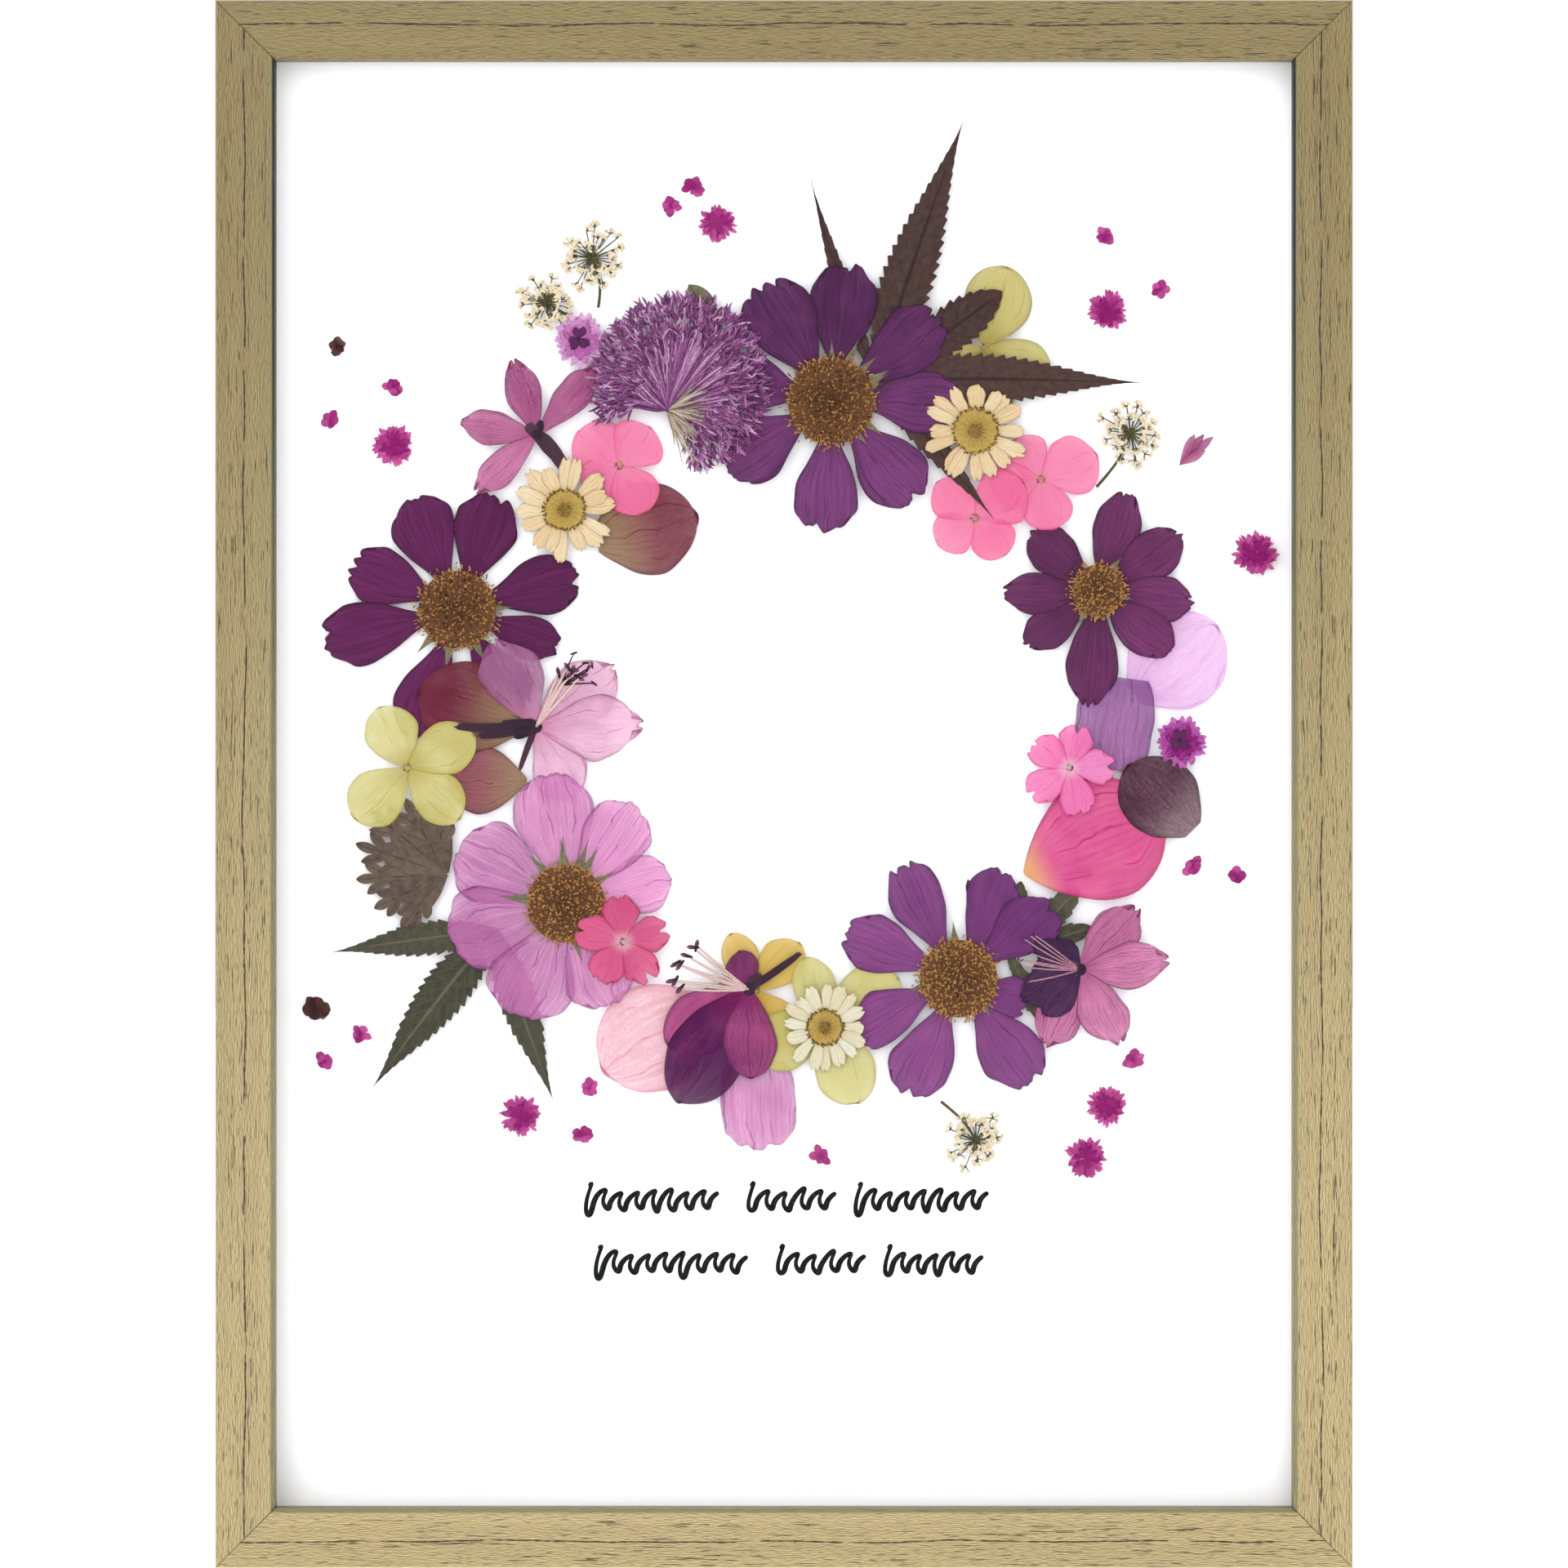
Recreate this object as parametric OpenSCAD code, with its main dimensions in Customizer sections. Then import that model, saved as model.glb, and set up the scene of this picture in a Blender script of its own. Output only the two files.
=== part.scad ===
// Double-glass floating frame for an A4 sheet, holding a wreath of pressed flowers.
// X runs across the frame, Z runs up and Y runs from the front to the wall.
// The origin is the middle of the bottom edge, in the plane of the rails' backs.

/* [Sheet] */
// Width of the panes, card and back board
sheet_w = 210; // [150:1:300]
// Height of the panes, card and back board
sheet_h = 297; // [220:1:420]
// Room left around the sheet in the rebate
sheet_clear = 1; // [0.5:0.1:2]

/* [Rails] */
// Width of a rail seen from the front
face_w = 12; // [11:0.5:20]
// How far the rail's front lip covers the front pane
lip_cover = 3; // [2:0.5:5]
// Thickness of the front lip
lip_t = 5; // [3:0.5:8]
// Bevel on the sight edge
sight_bevel = 0.7; // [0.2:0.1:1.5]
// Bevel on the outer edges
outer_bevel = 0.5; // [0.2:0.1:1]

/* [Stack] */
// Thickness of each clear pane
glass_t = 2; // [1.5:0.1:3]
// Thickness of one pressed petal or leaf
petal_t = 0.18; // [0.1:0.01:0.2]
// Distance from one layer of petals to the next
layer_pitch = 0.25; // [0.24:0.01:0.3]
// Thickness of the white card
card_t = 0.5; // [0.3:0.1:1]
// Thickness of the back board
board_t = 3; // [2:0.5:4]

/* [Turn buttons] */
// Distance from the button's screw to its nose
button_reach = 9.5; // [8.5:0.1:11]
// Thickness of the button's plate
button_t = 1; // [0.8:0.1:1.5]
// Height of the side buttons above and below the middle
button_spread = 62; // [40:1:80]

/* [Hangers] */
// Height of the two hangers above the middle
hanger_up = 100; // [90:1:110]
// Thickness of the ring's wire
ring_wire = 1.6; // [1.4:0.1:2]
// Width across the outside of the ring
ring_w = 10.4; // [9:0.1:10.4]
// Thickness of the wall bumpers
bumper_t = 4; // [3.8:0.1:6]

/* [Hidden] */

$fn = 48;
tiny = 0.01;
layers = 8;
rear_layer_gap = 0.03;
flower_gap = layers * layer_pitch;
board_recess = 0.1;
mitre_gap = 0.03;

opening_w = sheet_w + 2 * sheet_clear - 2 * lip_cover;
opening_h = sheet_h + 2 * sheet_clear - 2 * lip_cover;
outer_w = opening_w + 2 * face_w;
outer_h = opening_h + 2 * face_w;
land_w = face_w - lip_cover;
depth = lip_t + 2 * glass_t + flower_gap + card_t + board_t + board_recess;
mid_z = outer_h / 2;

// Planes through the stack, from the back to the front
board_back = -board_recess;
card_back = board_back - board_t;
rear_glass_back = card_back - card_t;
flowers_back = rear_glass_back - glass_t;
front_glass_back = flowers_back - flower_gap;

wood = "#c8b68a";
glass_tint = [0.85, 0.93, 0.9, 0.35];
steel = "#b9bcc0";

// ---- Rails ----------------------------------------------------------------

// Rail section: Y from the back to the front, Z inwards from the outer edge
module rail_section() {
    polygon([
        [0, 0],
        [0, land_w],
        [lip_t - depth, land_w],
        [lip_t - depth, face_w],
        [sight_bevel - depth, face_w],
        [-depth, face_w - sight_bevel],
        [-depth, outer_bevel],
        [outer_bevel - depth, 0]
    ]);
}

// A rail along +X with its outer edge on z = 0 and both ends cut at 45 degrees
module mitred_rail(length) {
    difference() {
        translate([-length / 2, 0, 0])
            rotate([90, 0, 90])
                linear_extrude(length)
                    rail_section();
        for (side = [-1, 1])
            translate([side * (length / 2 - mitre_gap), 0, 0])
                rotate([0, -side * 45, 0])
                    translate([side > 0 ? 0 : -2 * face_w, -depth - 1, -2 * face_w])
                        cube([2 * face_w, depth + 2, 6 * face_w]);
    }
}

// Steel V-nail driven into a mitre from behind, its point towards the sight edge
module v_nail_outline(clear) {
    far = 6.6;
    near = 2.4;
    wall = 0.6;
    polygon([
        [near - clear, far + clear],
        [far + clear, far + clear],
        [far + clear, near - clear],
        [far - wall - clear, near - clear],
        [far - wall - clear, far - wall - clear],
        [near - clear, far - wall - clear]
    ]);
}

module at_corners() {
    for (sx = [-1, 1], top = [0, 1])
        translate([sx * outer_w / 2, 0, top * outer_h])
            mirror([sx > 0 ? 1 : 0, 0, 0])
                mirror([0, 0, top])
                    children();
}

module v_nails(clear) {
    nail_l = 7;
    at_corners()
        translate([0, clear - 0.2, 0])
            rotate([90, 0, 0])
                linear_extrude(nail_l + 2 * clear)
                    v_nail_outline(clear);
}

module v_nail_slots() {
    slot_clear = 0.02;
    v_nails(slot_clear);
    translate([0, 0.5, 0])
        v_nails(slot_clear);
}

// ---- Fixings --------------------------------------------------------------

screw_r = 1.2;
screw_l = 8;
pilot_clear = 0.02;
running_clear = 0.05;

button_seats = [
    ["left_upper", -outer_w / 2 + land_w / 2, mid_z + button_spread, 0],
    ["left_lower", -outer_w / 2 + land_w / 2, mid_z - button_spread, 0],
    ["right_upper", outer_w / 2 - land_w / 2, mid_z + button_spread, 180],
    ["right_lower", outer_w / 2 - land_w / 2, mid_z - button_spread, 180],
    ["top", 0, outer_h - land_w / 2, 90],
    ["bottom", 0, land_w / 2, 270]
];

strap_w = 6.4;
strap_t = 0.8;
strap_l = 15;
strap_in = land_w / 2 + 0.9;
curl_r = ring_wire / 2 + running_clear + strap_t;
strap_screw_down = 9;
hanger_x = outer_w / 2 - strap_in;
hanger_z = mid_z + hanger_up;

// Turns a shape drawn in XY so that it faces the wall, at height y behind the rails
module on_back(x, y, z, turn) {
    translate([x, y, z])
        rotate([-90, 0, 0])
            rotate(turn)
                children();
}

module pilot_holes() {
    for (seat = button_seats)
        on_back(seat[1], -screw_l - pilot_clear, seat[2], 0)
            cylinder(h = screw_l + 1, r = screw_r + pilot_clear);
    for (side = [-1, 1])
        on_back(side * hanger_x, -screw_l - pilot_clear, hanger_z - strap_screw_down, 0)
            cylinder(h = screw_l + 1, r = screw_r + pilot_clear);
}

// Pan-head screw with a cross recess; its head sits head_y above the rail
module pan_screw(head_y) {
    head_r = 2.3;
    head_h = 1.3;
    cross_w = 0.6;
    cross_l = 2.4;
    translate([0, 0, -screw_l])
        cylinder(h = screw_l + head_y + tiny, r = screw_r);
    translate([0, 0, head_y])
        difference() {
            rotate_extrude()
                polygon([
                    [0, 0], [head_r, 0], [head_r, 0.4 * head_h],
                    [0.82 * head_r, 0.8 * head_h], [0.5 * head_r, head_h], [0, head_h]
                ]);
            for (turn = [0, 90])
                rotate(turn)
                    translate([-cross_l / 2, -cross_w / 2, 0.45 * head_h])
                        cube([cross_l, cross_w, head_h]);
        }
}

button_y = 0.15;
button_head_y = button_y + button_t + running_clear;

module turn_button(seat) {
    heel_r = 3.4;
    nose_r = 1.9;
    nose_x = button_reach - nose_r;
    // where a straight side touches both round ends
    lean = asin((heel_r - nose_r) / nose_x);
    heel_arc = [for (a = [90 - lean : 9 : 270 + lean]) heel_r * [cos(a), sin(a)]];
    nose_arc = [for (a = [lean - 90 : 9 : 90 - lean]) [nose_x, 0] + nose_r * [cos(a), sin(a)]];
    color(steel)
        on_back(seat[1], button_y, seat[2], seat[3])
            difference() {
                linear_extrude(button_t)
                    polygon(concat(heel_arc, nose_arc));
                translate([0, 0, -1])
                    cylinder(h = button_t + 2, r = screw_r + running_clear);
            }
}

module hanger_strap() {
    translate([-strap_w / 2, 0, -strap_l])
        cube([strap_w, strap_t, strap_l]);
    // the curl wraps the ring's straight bar
    translate([-strap_w / 2, curl_r, 0])
        rotate([0, 90, 0])
            cylinder(h = strap_w, r = curl_r);
}

module hanger_strap_cut() {
    translate([-strap_w, curl_r, 0])
        rotate([0, 90, 0])
            cylinder(h = 2 * strap_w, r = ring_wire / 2 + running_clear);
    on_back(0, -1, -strap_screw_down, 0)
        cylinder(h = strap_t + 2, r = screw_r + running_clear);
}

// D-ring: a straight bar in the strap's curl, two legs and a half-round bow
module hanger_ring(side) {
    wire_r = ring_wire / 2;
    bow_r = ring_w / 2 - wire_r;
    leg = 3.2;
    color(steel)
        translate([side * hanger_x, curl_r, hanger_z]) {
            translate([-bow_r, 0, 0])
                rotate([0, 90, 0])
                    cylinder(h = 2 * bow_r, r = wire_r);
            for (end = [-1, 1]) {
                translate([end * bow_r, 0, 0])
                    sphere(wire_r);
                translate([end * bow_r, 0, 0])
                    cylinder(h = leg, r = wire_r);
            }
            translate([0, 0, leg])
                rotate([90, 0, 0])
                    rotate_extrude(angle = 180)
                        translate([bow_r, 0])
                            circle(wire_r);
        }
}

// ---- Outlines of pressed flowers -------------------------------------------

// Round the centre: n petals between two radii; a fuller petal has a smaller fat
function rosette(n, r_in, r_out, fat = 0.5, teeth = 0, steps = 10) = [
    for (i = [0 : n * steps - 1])
        let (
            a = 360 * i / (n * steps),
            lobe = pow(abs(sin(n * a / 2)), fat),
            tooth = 1 - 0.05 * teeth * lobe * abs(cos(2.5 * n * a))
        )
        (r_in + (r_out - r_in) * lobe) * tooth * [cos(a), sin(a)]
];

// Along +X from a narrow base; a larger tip moves the widest place outwards
function petal(l, w, tip = 1.4, teeth = 0, steps = 12) = [
    for (i = [0 : 2 * steps - 1])
        let (
            t = i <= steps ? i / steps : 2 - i / steps,
            side = i <= steps ? 1 : -1,
            bite = 1 - teeth * (i % 2)
        )
        [l * t, side * bite * (0.06 * w + 0.44 * w * sin(180 * pow(t, tip)))]
];

function aim(from, to) = atan2(to[1] - from[1], to[0] - from[0]);

// Lays an outline in one layer of the gap between the panes, facing the front
module pressed(at, layer, turn = 0) {
    translate([at[0], flowers_back - rear_layer_gap - layer * layer_pitch, mid_z + at[1]])
        rotate([90, 0, 0])
            rotate(turn)
                linear_extrude(petal_t)
                    children();
}

module petal_to(from, to, w, tip = 1.4, teeth = 0) {
    translate(from)
        rotate(aim(from, to))
            polygon(petal(norm(to - from), w, tip, teeth));
}

// Several petals or lobes from one base point, each reaching its own tip point
module spray(base, tips, w, tip = 1.4, teeth = 0) {
    knot_r = 1.3;
    translate(base)
        circle(knot_r, $fn = 12);
    for (end = tips)
        petal_to(base, end, w, tip, teeth);
}

module cosmos(at, r, n, disc_r, layer, turn, teeth = 0) {
    pressed(at, layer, turn) {
        polygon(rosette(n, 0.3 * r, r, 0.45, teeth));
        circle(disc_r);
    }
}

module daisy(at, r, disc_r, turn) {
    rays = 17;
    pressed(at, 7, turn) {
        polygon(rosette(rays, 0.4 * r, r, 0.6, 0, 6));
        circle(disc_r);
    }
}

module four_petals(at, r, layer, turn) {
    pressed(at, layer, turn)
        polygon(rosette(4, 0.22 * r, r, 0.4, 0, 16));
}

module verbena(at, r, turn) {
    pressed(at, 7, turn)
        polygon(rosette(5, 0.2 * r, r, 0.4, 1, 12));
}

module umbel(centre, r, stem_end) {
    rays = 9;
    translate(centre) {
        circle(0.45 * r);
        for (i = [0 : rays - 1])
            rotate(360 * i / rays) {
                translate([0, -0.04 * r])
                    square([0.8 * r, 0.08 * r]);
                translate([0.8 * r, 0])
                    circle(0.2 * r, $fn = 8);
            }
    }
    stem_w = 0.5;
    translate(centre)
        rotate(aim(centre, stem_end))
            translate([0, -stem_w / 2])
                square([norm(stem_end - centre), stem_w]);
}

// ---- Nodes: rails, panes and boards -----------------------------------------

module rail_bottom() {
    color(wood)
        difference() {
            mitred_rail(outer_w);
            v_nail_slots();
            pilot_holes();
        }
}

module rail_top() {
    color(wood)
        difference() {
            translate([0, 0, outer_h])
                mirror([0, 0, 1])
                    mitred_rail(outer_w);
            v_nail_slots();
            pilot_holes();
        }
}

module side_rail(side) {
    color(wood)
        difference() {
            translate([side * outer_w / 2, 0, mid_z])
                rotate([0, -side * 90, 0])
                    mitred_rail(outer_h);
            v_nail_slots();
            pilot_holes();
        }
}

module rail_left() { side_rail(-1); }
module rail_right() { side_rail(1); }

module corner_v_nails() {
    color(steel)
        v_nails(0);
}

module sheet(back, t) {
    translate([-sheet_w / 2, back - t, mid_z - sheet_h / 2])
        cube([sheet_w, t, sheet_h]);
}

module front_glass() {
    color(glass_tint)
        sheet(front_glass_back, glass_t);
}

module rear_glass() {
    color(glass_tint)
        sheet(rear_glass_back, glass_t);
}

module mount_card() {
    color("white")
        sheet(card_back, card_t);
}

module back_board() {
    color("#8f7552")
        sheet(board_back, board_t);
}

// ---- Nodes: turn buttons, hangers and bumpers --------------------------------

module turn_button_left_upper() { turn_button(button_seats[0]); }
module turn_button_left_lower() { turn_button(button_seats[1]); }
module turn_button_right_upper() { turn_button(button_seats[2]); }
module turn_button_right_lower() { turn_button(button_seats[3]); }
module turn_button_top() { turn_button(button_seats[4]); }
module turn_button_bottom() { turn_button(button_seats[5]); }

module turn_button_screws() {
    color(steel)
        for (seat = button_seats)
            on_back(seat[1], 0, seat[2], 45)
                pan_screw(button_head_y);
}

module hanger_straps() {
    color(steel)
        for (side = [-1, 1])
            translate([side * hanger_x, 0, hanger_z])
                difference() {
                    hanger_strap();
                    hanger_strap_cut();
                }
}

module hanger_ring_left() { hanger_ring(-1); }
module hanger_ring_right() { hanger_ring(1); }

module hanger_screws() {
    color(steel)
        for (side = [-1, 1])
            on_back(side * hanger_x, 0, hanger_z - strap_screw_down, 20)
                pan_screw(strap_t);
}

module wall_bumpers() {
    base_r = 4;
    top_r = 3;
    inset = 14;
    color("#3a3a3a")
        for (side = [-1, 1])
            on_back(side * (outer_w / 2 - inset), 0, land_w / 2, 0)
                rotate_extrude()
                    polygon([
                        [0, 0], [base_r, 0], [base_r, 0.45 * bumper_t],
                        [top_r + 0.6, 0.85 * bumper_t], [top_r, bumper_t], [0, bumper_t]
                    ]);
}

// ---- Nodes: pressed flowers -------------------------------------------------

module cosmos_top() { color("#5a235f") cosmos([9.6, 77.9], 27, 8, 9.3, 6, 10); }
module cosmos_left() { color("#551955") cosmos([-66.5, 35.5], 26.4, 8, 8.3, 0, 0); }
module cosmos_right() { color("#692d5f") cosmos([63.9, 39.3], 20, 8, 6.6, 2, 15, 1); }
module cosmos_bottom_right() { color("#733782") cosmos([35.5, -39.6], 24.8, 8, 8.3, 4, 5, 1); }
module cosmos_bottom_left() { color("#b978be") cosmos([-44.9, -24.8], 25.6, 7, 8.3, 4, 20); }

module palmate_leaf() {
    base = [19, 82];
    color("#3e2826")
        pressed([0, 0], 5) {
            petal_to(base, [35, 134], 12, 1.1, 0.12);
            petal_to(base, [4, 121], 6, 1.1, 0.12);
            petal_to(base, [72, 81], 12, 1.1, 0.12);
            petal_to(base, [45, 100], 11, 1.6, 0.08);
            petal_to(base, [43, 54], 8, 1.1, 0.12);
        }
}

module serrated_leaf() {
    base = [-59, -31];
    color("#3c4132")
        pressed([0, 0], 0)
            spray(base, [[-92.7, -34.7], [-84.5, -62.7], [-48.2, -66]], 10, 1.1, 0.14);
}

module lobed_leaf() {
    color("#5f554b")
        pressed([-76.7, -16.5], 1)
            polygon(rosette(7, 7.2, 10.7, 0.5));
}

module leaf_sprig() {
    base = [46, -34];
    color("#3c4a34")
        pressed([0, 0], 2)
            spray(base, [[35, -22], [62, -29], [50, -50]], 6, 1.1, 0.12);
}

module thread_flower() {
    base = [-22.8, 75];
    threads = 15;
    reach = 20;
    color("#8c5096")
        pressed([0, 0], 7)
            for (i = [0 : threads - 1]) {
                lean = 90 + 230 * (i / (threads - 1) - 0.5);
                length = reach * (0.78 + 0.22 * cos(lean - 90));
                petal_to(base, base + length * [cos(lean), sin(lean)], 2.6);
            }
}

module daisy_top() { color("#faebc3") daisy([39.1, 71.8], 10.2, 4.6, 0); }
module daisy_left() { color("#f5e8b4") daisy([-44.6, 55.8], 9.9, 4, 5); }
module daisy_bottom() { color("#faf8e1") daisy([8.3, -49.5], 8.6, 3.6, 9); }
module verbena_left() { color("#e15a8c") verbena([-32.7, -31.4], 9.4, 18); }
module verbena_right() { color("#e65a96") verbena([58.7, 3.3], 9.1, 0); }

module hydrangea_pink_left() { color("#ff87b4") four_petals([-33.5, 64.8], 10.2, 3, 0); }
module hydrangea_pink_right() { color("#ff87b4") four_petals([52.3, 61.9], 10.7, 3, 20); }
module hydrangea_pink_inner() { color("#ff87b4") four_petals([38.8, 54.1], 9.6, 4, 45); }
module hydrangea_yellow_left() { color("#e1dc8c") four_petals([-76.7, 3.3], 14.5, 2, 10); }
module hydrangea_yellow_bottom() { color("#dcc873") four_petals([-5.8, -42.1], 12.4, 2, 0); }
module hydrangea_olive_top() { color("#cdbe6e") four_petals([40.8, 88.8], 15.7, 3, 30); }
module hydrangea_green_bottom() { color("#d7d78c") four_petals([8.6, -49.2], 14.9, 3, 45); }

module fireweed_top_left() {
    base = [-50.3, 71.3];
    color("#a55587")
        pressed([0, 0], 4) {
            spray(base, [[-55.5, 86.5], [-66, 73.5], [-62.5, 60], [-38.5, 84]], 8);
            petal_to(base, [-44.5, 66], 2);
        }
}

module fireweed_left() {
    base = [-50.3, 11.9];
    color("#c88cb9")
        pressed([0, 0], 3) {
            spray(base, [[-58, 29], [-34, 23], [-29, 10], [-42, -3]], 11);
            spray(base, [[-66, 10], [-34, 26]], 3);
        }
}

module fireweed_right() {
    base = [61.1, -36.6];
    color("#cd78a5")
        pressed([0, 0], 5) {
            spray(base, [[73, -23], [79, -40], [66, -53], [51, -56]], 10);
            petal_to(base, [52, -30], 2.5);
        }
}

module magenta_flower() {
    base = [-7.4, -42.1];
    color("#aa3c96")
        pressed([0, 0], 5) {
            spray(base, [[-25, -51], [-11, -57], [-21, -65]], 10);
            petal_to(base, [-24, -37], 3);
            petal_to(base, [2, -36], 2);
        }
}

module burgundy_petals() {
    color("#87414f") {
        pressed([0, 0], 1) {
            petal_to([-37, 49], [-18.5, 54], 18, 1.4);
            petal_to([-54, 12], [-73, 18], 17, 1.3);
        }
        pressed([0, 0], 0)
            petal_to([-53, 0], [-67.5, 1.5], 14, 1.2);
    }
}

module rose_petal() {
    color("#d7468c")
        pressed([0, 0], 3)
            petal_to([49, -19], [77, -8], 24, 1.5);
}

module mauve_petal() {
    color("#5f3c50")
        pressed([0, 0], 4)
            petal_to([68.5, -4], [85, -2], 16, 1.3);
}

module pale_petals() {
    color("#d7b4e1") {
        pressed([0, 0], 0)
            petal_to([71, 17], [88, 30], 19, 1.5);
        pressed([0, 0], 1)
            petal_to([75, 20], [60, 6], 15, 1.4);
    }
}

module bottom_petals() {
    color("#e6a5c8") {
        pressed([0, 0], 0)
            petal_to([-16, -45], [-37, -56], 21, 1.3);
        pressed([0, 0], 1)
            petal_to([-7, -57], [-4, -74], 15, 1.3);
    }
}

module pompons() {
    color("#be46aa") {
        pressed([80.9, 8.6], 6)
            polygon(rosette(14, 3.6, 5, 0.7, 0, 4));
        pressed([-41.3, 90.3], 6)
            polygon(rosette(14, 3.8, 5.3, 0.7, 0, 4));
    }
}

module lace_umbels() {
    color("#a08c64")
        pressed([0, 0], 1) {
            umbel([-39.3, 107.3], 6.6, [-38.5, 97]);
            umbel([-48.2, 97], 5, [-42, 93.5]);
            umbel([70.1, 71.3], 6.9, [64, 60.6]);
            umbel([37.5, -71.3], 5.9, [32.5, -64.8]);
        }
}

module green_buds() {
    color("#7d8250")
        pressed([0, 0], 4) {
            petal_to([-13, 93], [-19, 100], 4, 1);
            petal_to([-6, 89.5], [-11.5, 94.5], 3.5, 1);
        }
}

module tube_sprig() {
    color("#7d4b8c")
        pressed([0, 0], 2)
            petal_to([80, 64], [86.5, 72], 3, 1.5);
}

module scattered_florets() {
    small = 1.8;
    large = 3.8;
    small_spots = [
        [-18.5, 121.3], [-23.1, 117.5], [65.3, 111.5], [76.6, 100.7], [-91.1, 89.1], [-79.5, 80.9],
        [-92.2, 74.2], [83.2, -16.8], [92.2, -18.6], [-86.1, -50.7], [-93.4, -56.4],
        [-39.6, -61.9], [-40.8, -71.4], [7.6, -75.7], [71, -56.3]
    ];
    large_spots = [
        [-13.5, 114.2], [66, 96.5], [-79.5, 69], [96, 46.9],
        [-95.4, -45.9], [-53.6, -67.5], [65.8, -65.5], [61.5, -76.1]
    ];
    color("#c83c96")
        pressed([0, 0], 2) {
            for (spot = small_spots)
                translate(spot)
                    rotate(7 * spot[0])
                        polygon(rosette(4, 0.5 * small, small, 0.6, 0, 6));
            for (spot = large_spots)
                translate(spot)
                    rotate(7 * spot[0])
                        polygon(rosette(4, 0.4 * large, large, 0.6, 0, 8));
        }
}

rail_top();
rail_bottom();
rail_left();
rail_right();
corner_v_nails();
front_glass();
rear_glass();
mount_card();
back_board();
turn_button_left_upper();
turn_button_left_lower();
turn_button_right_upper();
turn_button_right_lower();
turn_button_top();
turn_button_bottom();
turn_button_screws();
hanger_straps();
hanger_ring_left();
hanger_ring_right();
hanger_screws();
wall_bumpers();
cosmos_top();
cosmos_left();
cosmos_right();
cosmos_bottom_right();
cosmos_bottom_left();
palmate_leaf();
serrated_leaf();
lobed_leaf();
leaf_sprig();
thread_flower();
daisy_top();
daisy_left();
daisy_bottom();
verbena_left();
verbena_right();
hydrangea_pink_left();
hydrangea_pink_right();
hydrangea_pink_inner();
hydrangea_yellow_left();
hydrangea_yellow_bottom();
hydrangea_olive_top();
hydrangea_green_bottom();
fireweed_top_left();
fireweed_left();
fireweed_right();
magenta_flower();
burgundy_petals();
rose_petal();
mauve_petal();
pale_petals();
bottom_petals();
pompons();
lace_umbels();
green_buds();
tube_sprig();
scattered_florets();
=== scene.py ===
"""Looks of the floating frame: oak rails, panes, pressed flowers, card, board and steel fittings."""

import math

import bpy
import numpy as np
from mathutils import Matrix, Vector


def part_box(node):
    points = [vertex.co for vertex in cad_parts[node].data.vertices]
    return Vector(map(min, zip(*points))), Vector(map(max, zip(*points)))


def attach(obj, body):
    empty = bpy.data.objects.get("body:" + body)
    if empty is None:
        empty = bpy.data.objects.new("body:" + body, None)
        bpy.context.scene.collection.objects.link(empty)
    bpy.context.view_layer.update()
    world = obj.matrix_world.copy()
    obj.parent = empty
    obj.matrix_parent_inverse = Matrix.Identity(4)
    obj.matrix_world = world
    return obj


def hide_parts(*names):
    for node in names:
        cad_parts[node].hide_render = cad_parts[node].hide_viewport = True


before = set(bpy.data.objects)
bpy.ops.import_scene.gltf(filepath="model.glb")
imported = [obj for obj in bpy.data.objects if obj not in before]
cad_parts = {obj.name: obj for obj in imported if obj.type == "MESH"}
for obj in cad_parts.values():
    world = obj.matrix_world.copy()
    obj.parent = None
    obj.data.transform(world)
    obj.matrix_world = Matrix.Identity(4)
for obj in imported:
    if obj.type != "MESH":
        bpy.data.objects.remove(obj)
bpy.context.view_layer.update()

MM = 0.001
# How bright a matt white surface facing the camera comes out
EXPOSURE = 1.6
BODY = "frame"
TURN = 2 * math.pi
# Degrees between one seed of a flower head and the next
GOLDEN_ANGLE = 137.5
WHITE = (1, 1, 1, 1)

# The whole frame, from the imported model
OUTER_LOW, OUTER_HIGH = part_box("rail_left")[0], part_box("rail_right")[1]
OUTER_W = OUTER_HIGH.x - OUTER_LOW.x
OUTER_H = OUTER_HIGH.z - OUTER_LOW.z
MID_Z = (OUTER_HIGH.z + OUTER_LOW.z) / 2
FRONT_Y = OUTER_LOW.y


# ---- Node helpers -----------------------------------------------------------


def srgb(red, green, blue):
    """Linear colour with alpha from 0 to 255 display values."""
    shares = (red / 255, green / 255, blue / 255)
    return (*(((c + 0.055) / 1.055) ** 2.4 if c > 0.04 else c / 12.92 for c in shares), 1.0)


def seen(red, green, blue, clear=0.0):
    """The surface colour that comes out as the display colour, with this much card showing through."""
    card_behind = clear * (0.15 + 1.1 * clear)
    linear = srgb(red, green, blue)[:3]
    surface = [max((c - card_behind) / ((1 - clear) * EXPOSURE), 0.003) for c in linear]
    return (*surface, 1.0)


class Value:
    """A node's output. Sums and products of it are Math nodes."""

    def __init__(self, graph, socket):
        self.graph, self.socket = graph, socket

    def __add__(self, other):
        return self.graph.math("ADD", self, other)

    def __sub__(self, other):
        return self.graph.math("SUBTRACT", self, other)

    def __rsub__(self, other):
        return self.graph.math("SUBTRACT", other, self)

    def __mul__(self, other):
        return self.graph.math("MULTIPLY", self, other)

    def __truediv__(self, other):
        return self.graph.math("DIVIDE", self, other)

    def __pow__(self, other):
        return self.graph.math("POWER", self, other)

    def __abs__(self):
        return self.graph.math("ABSOLUTE", self)


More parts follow.
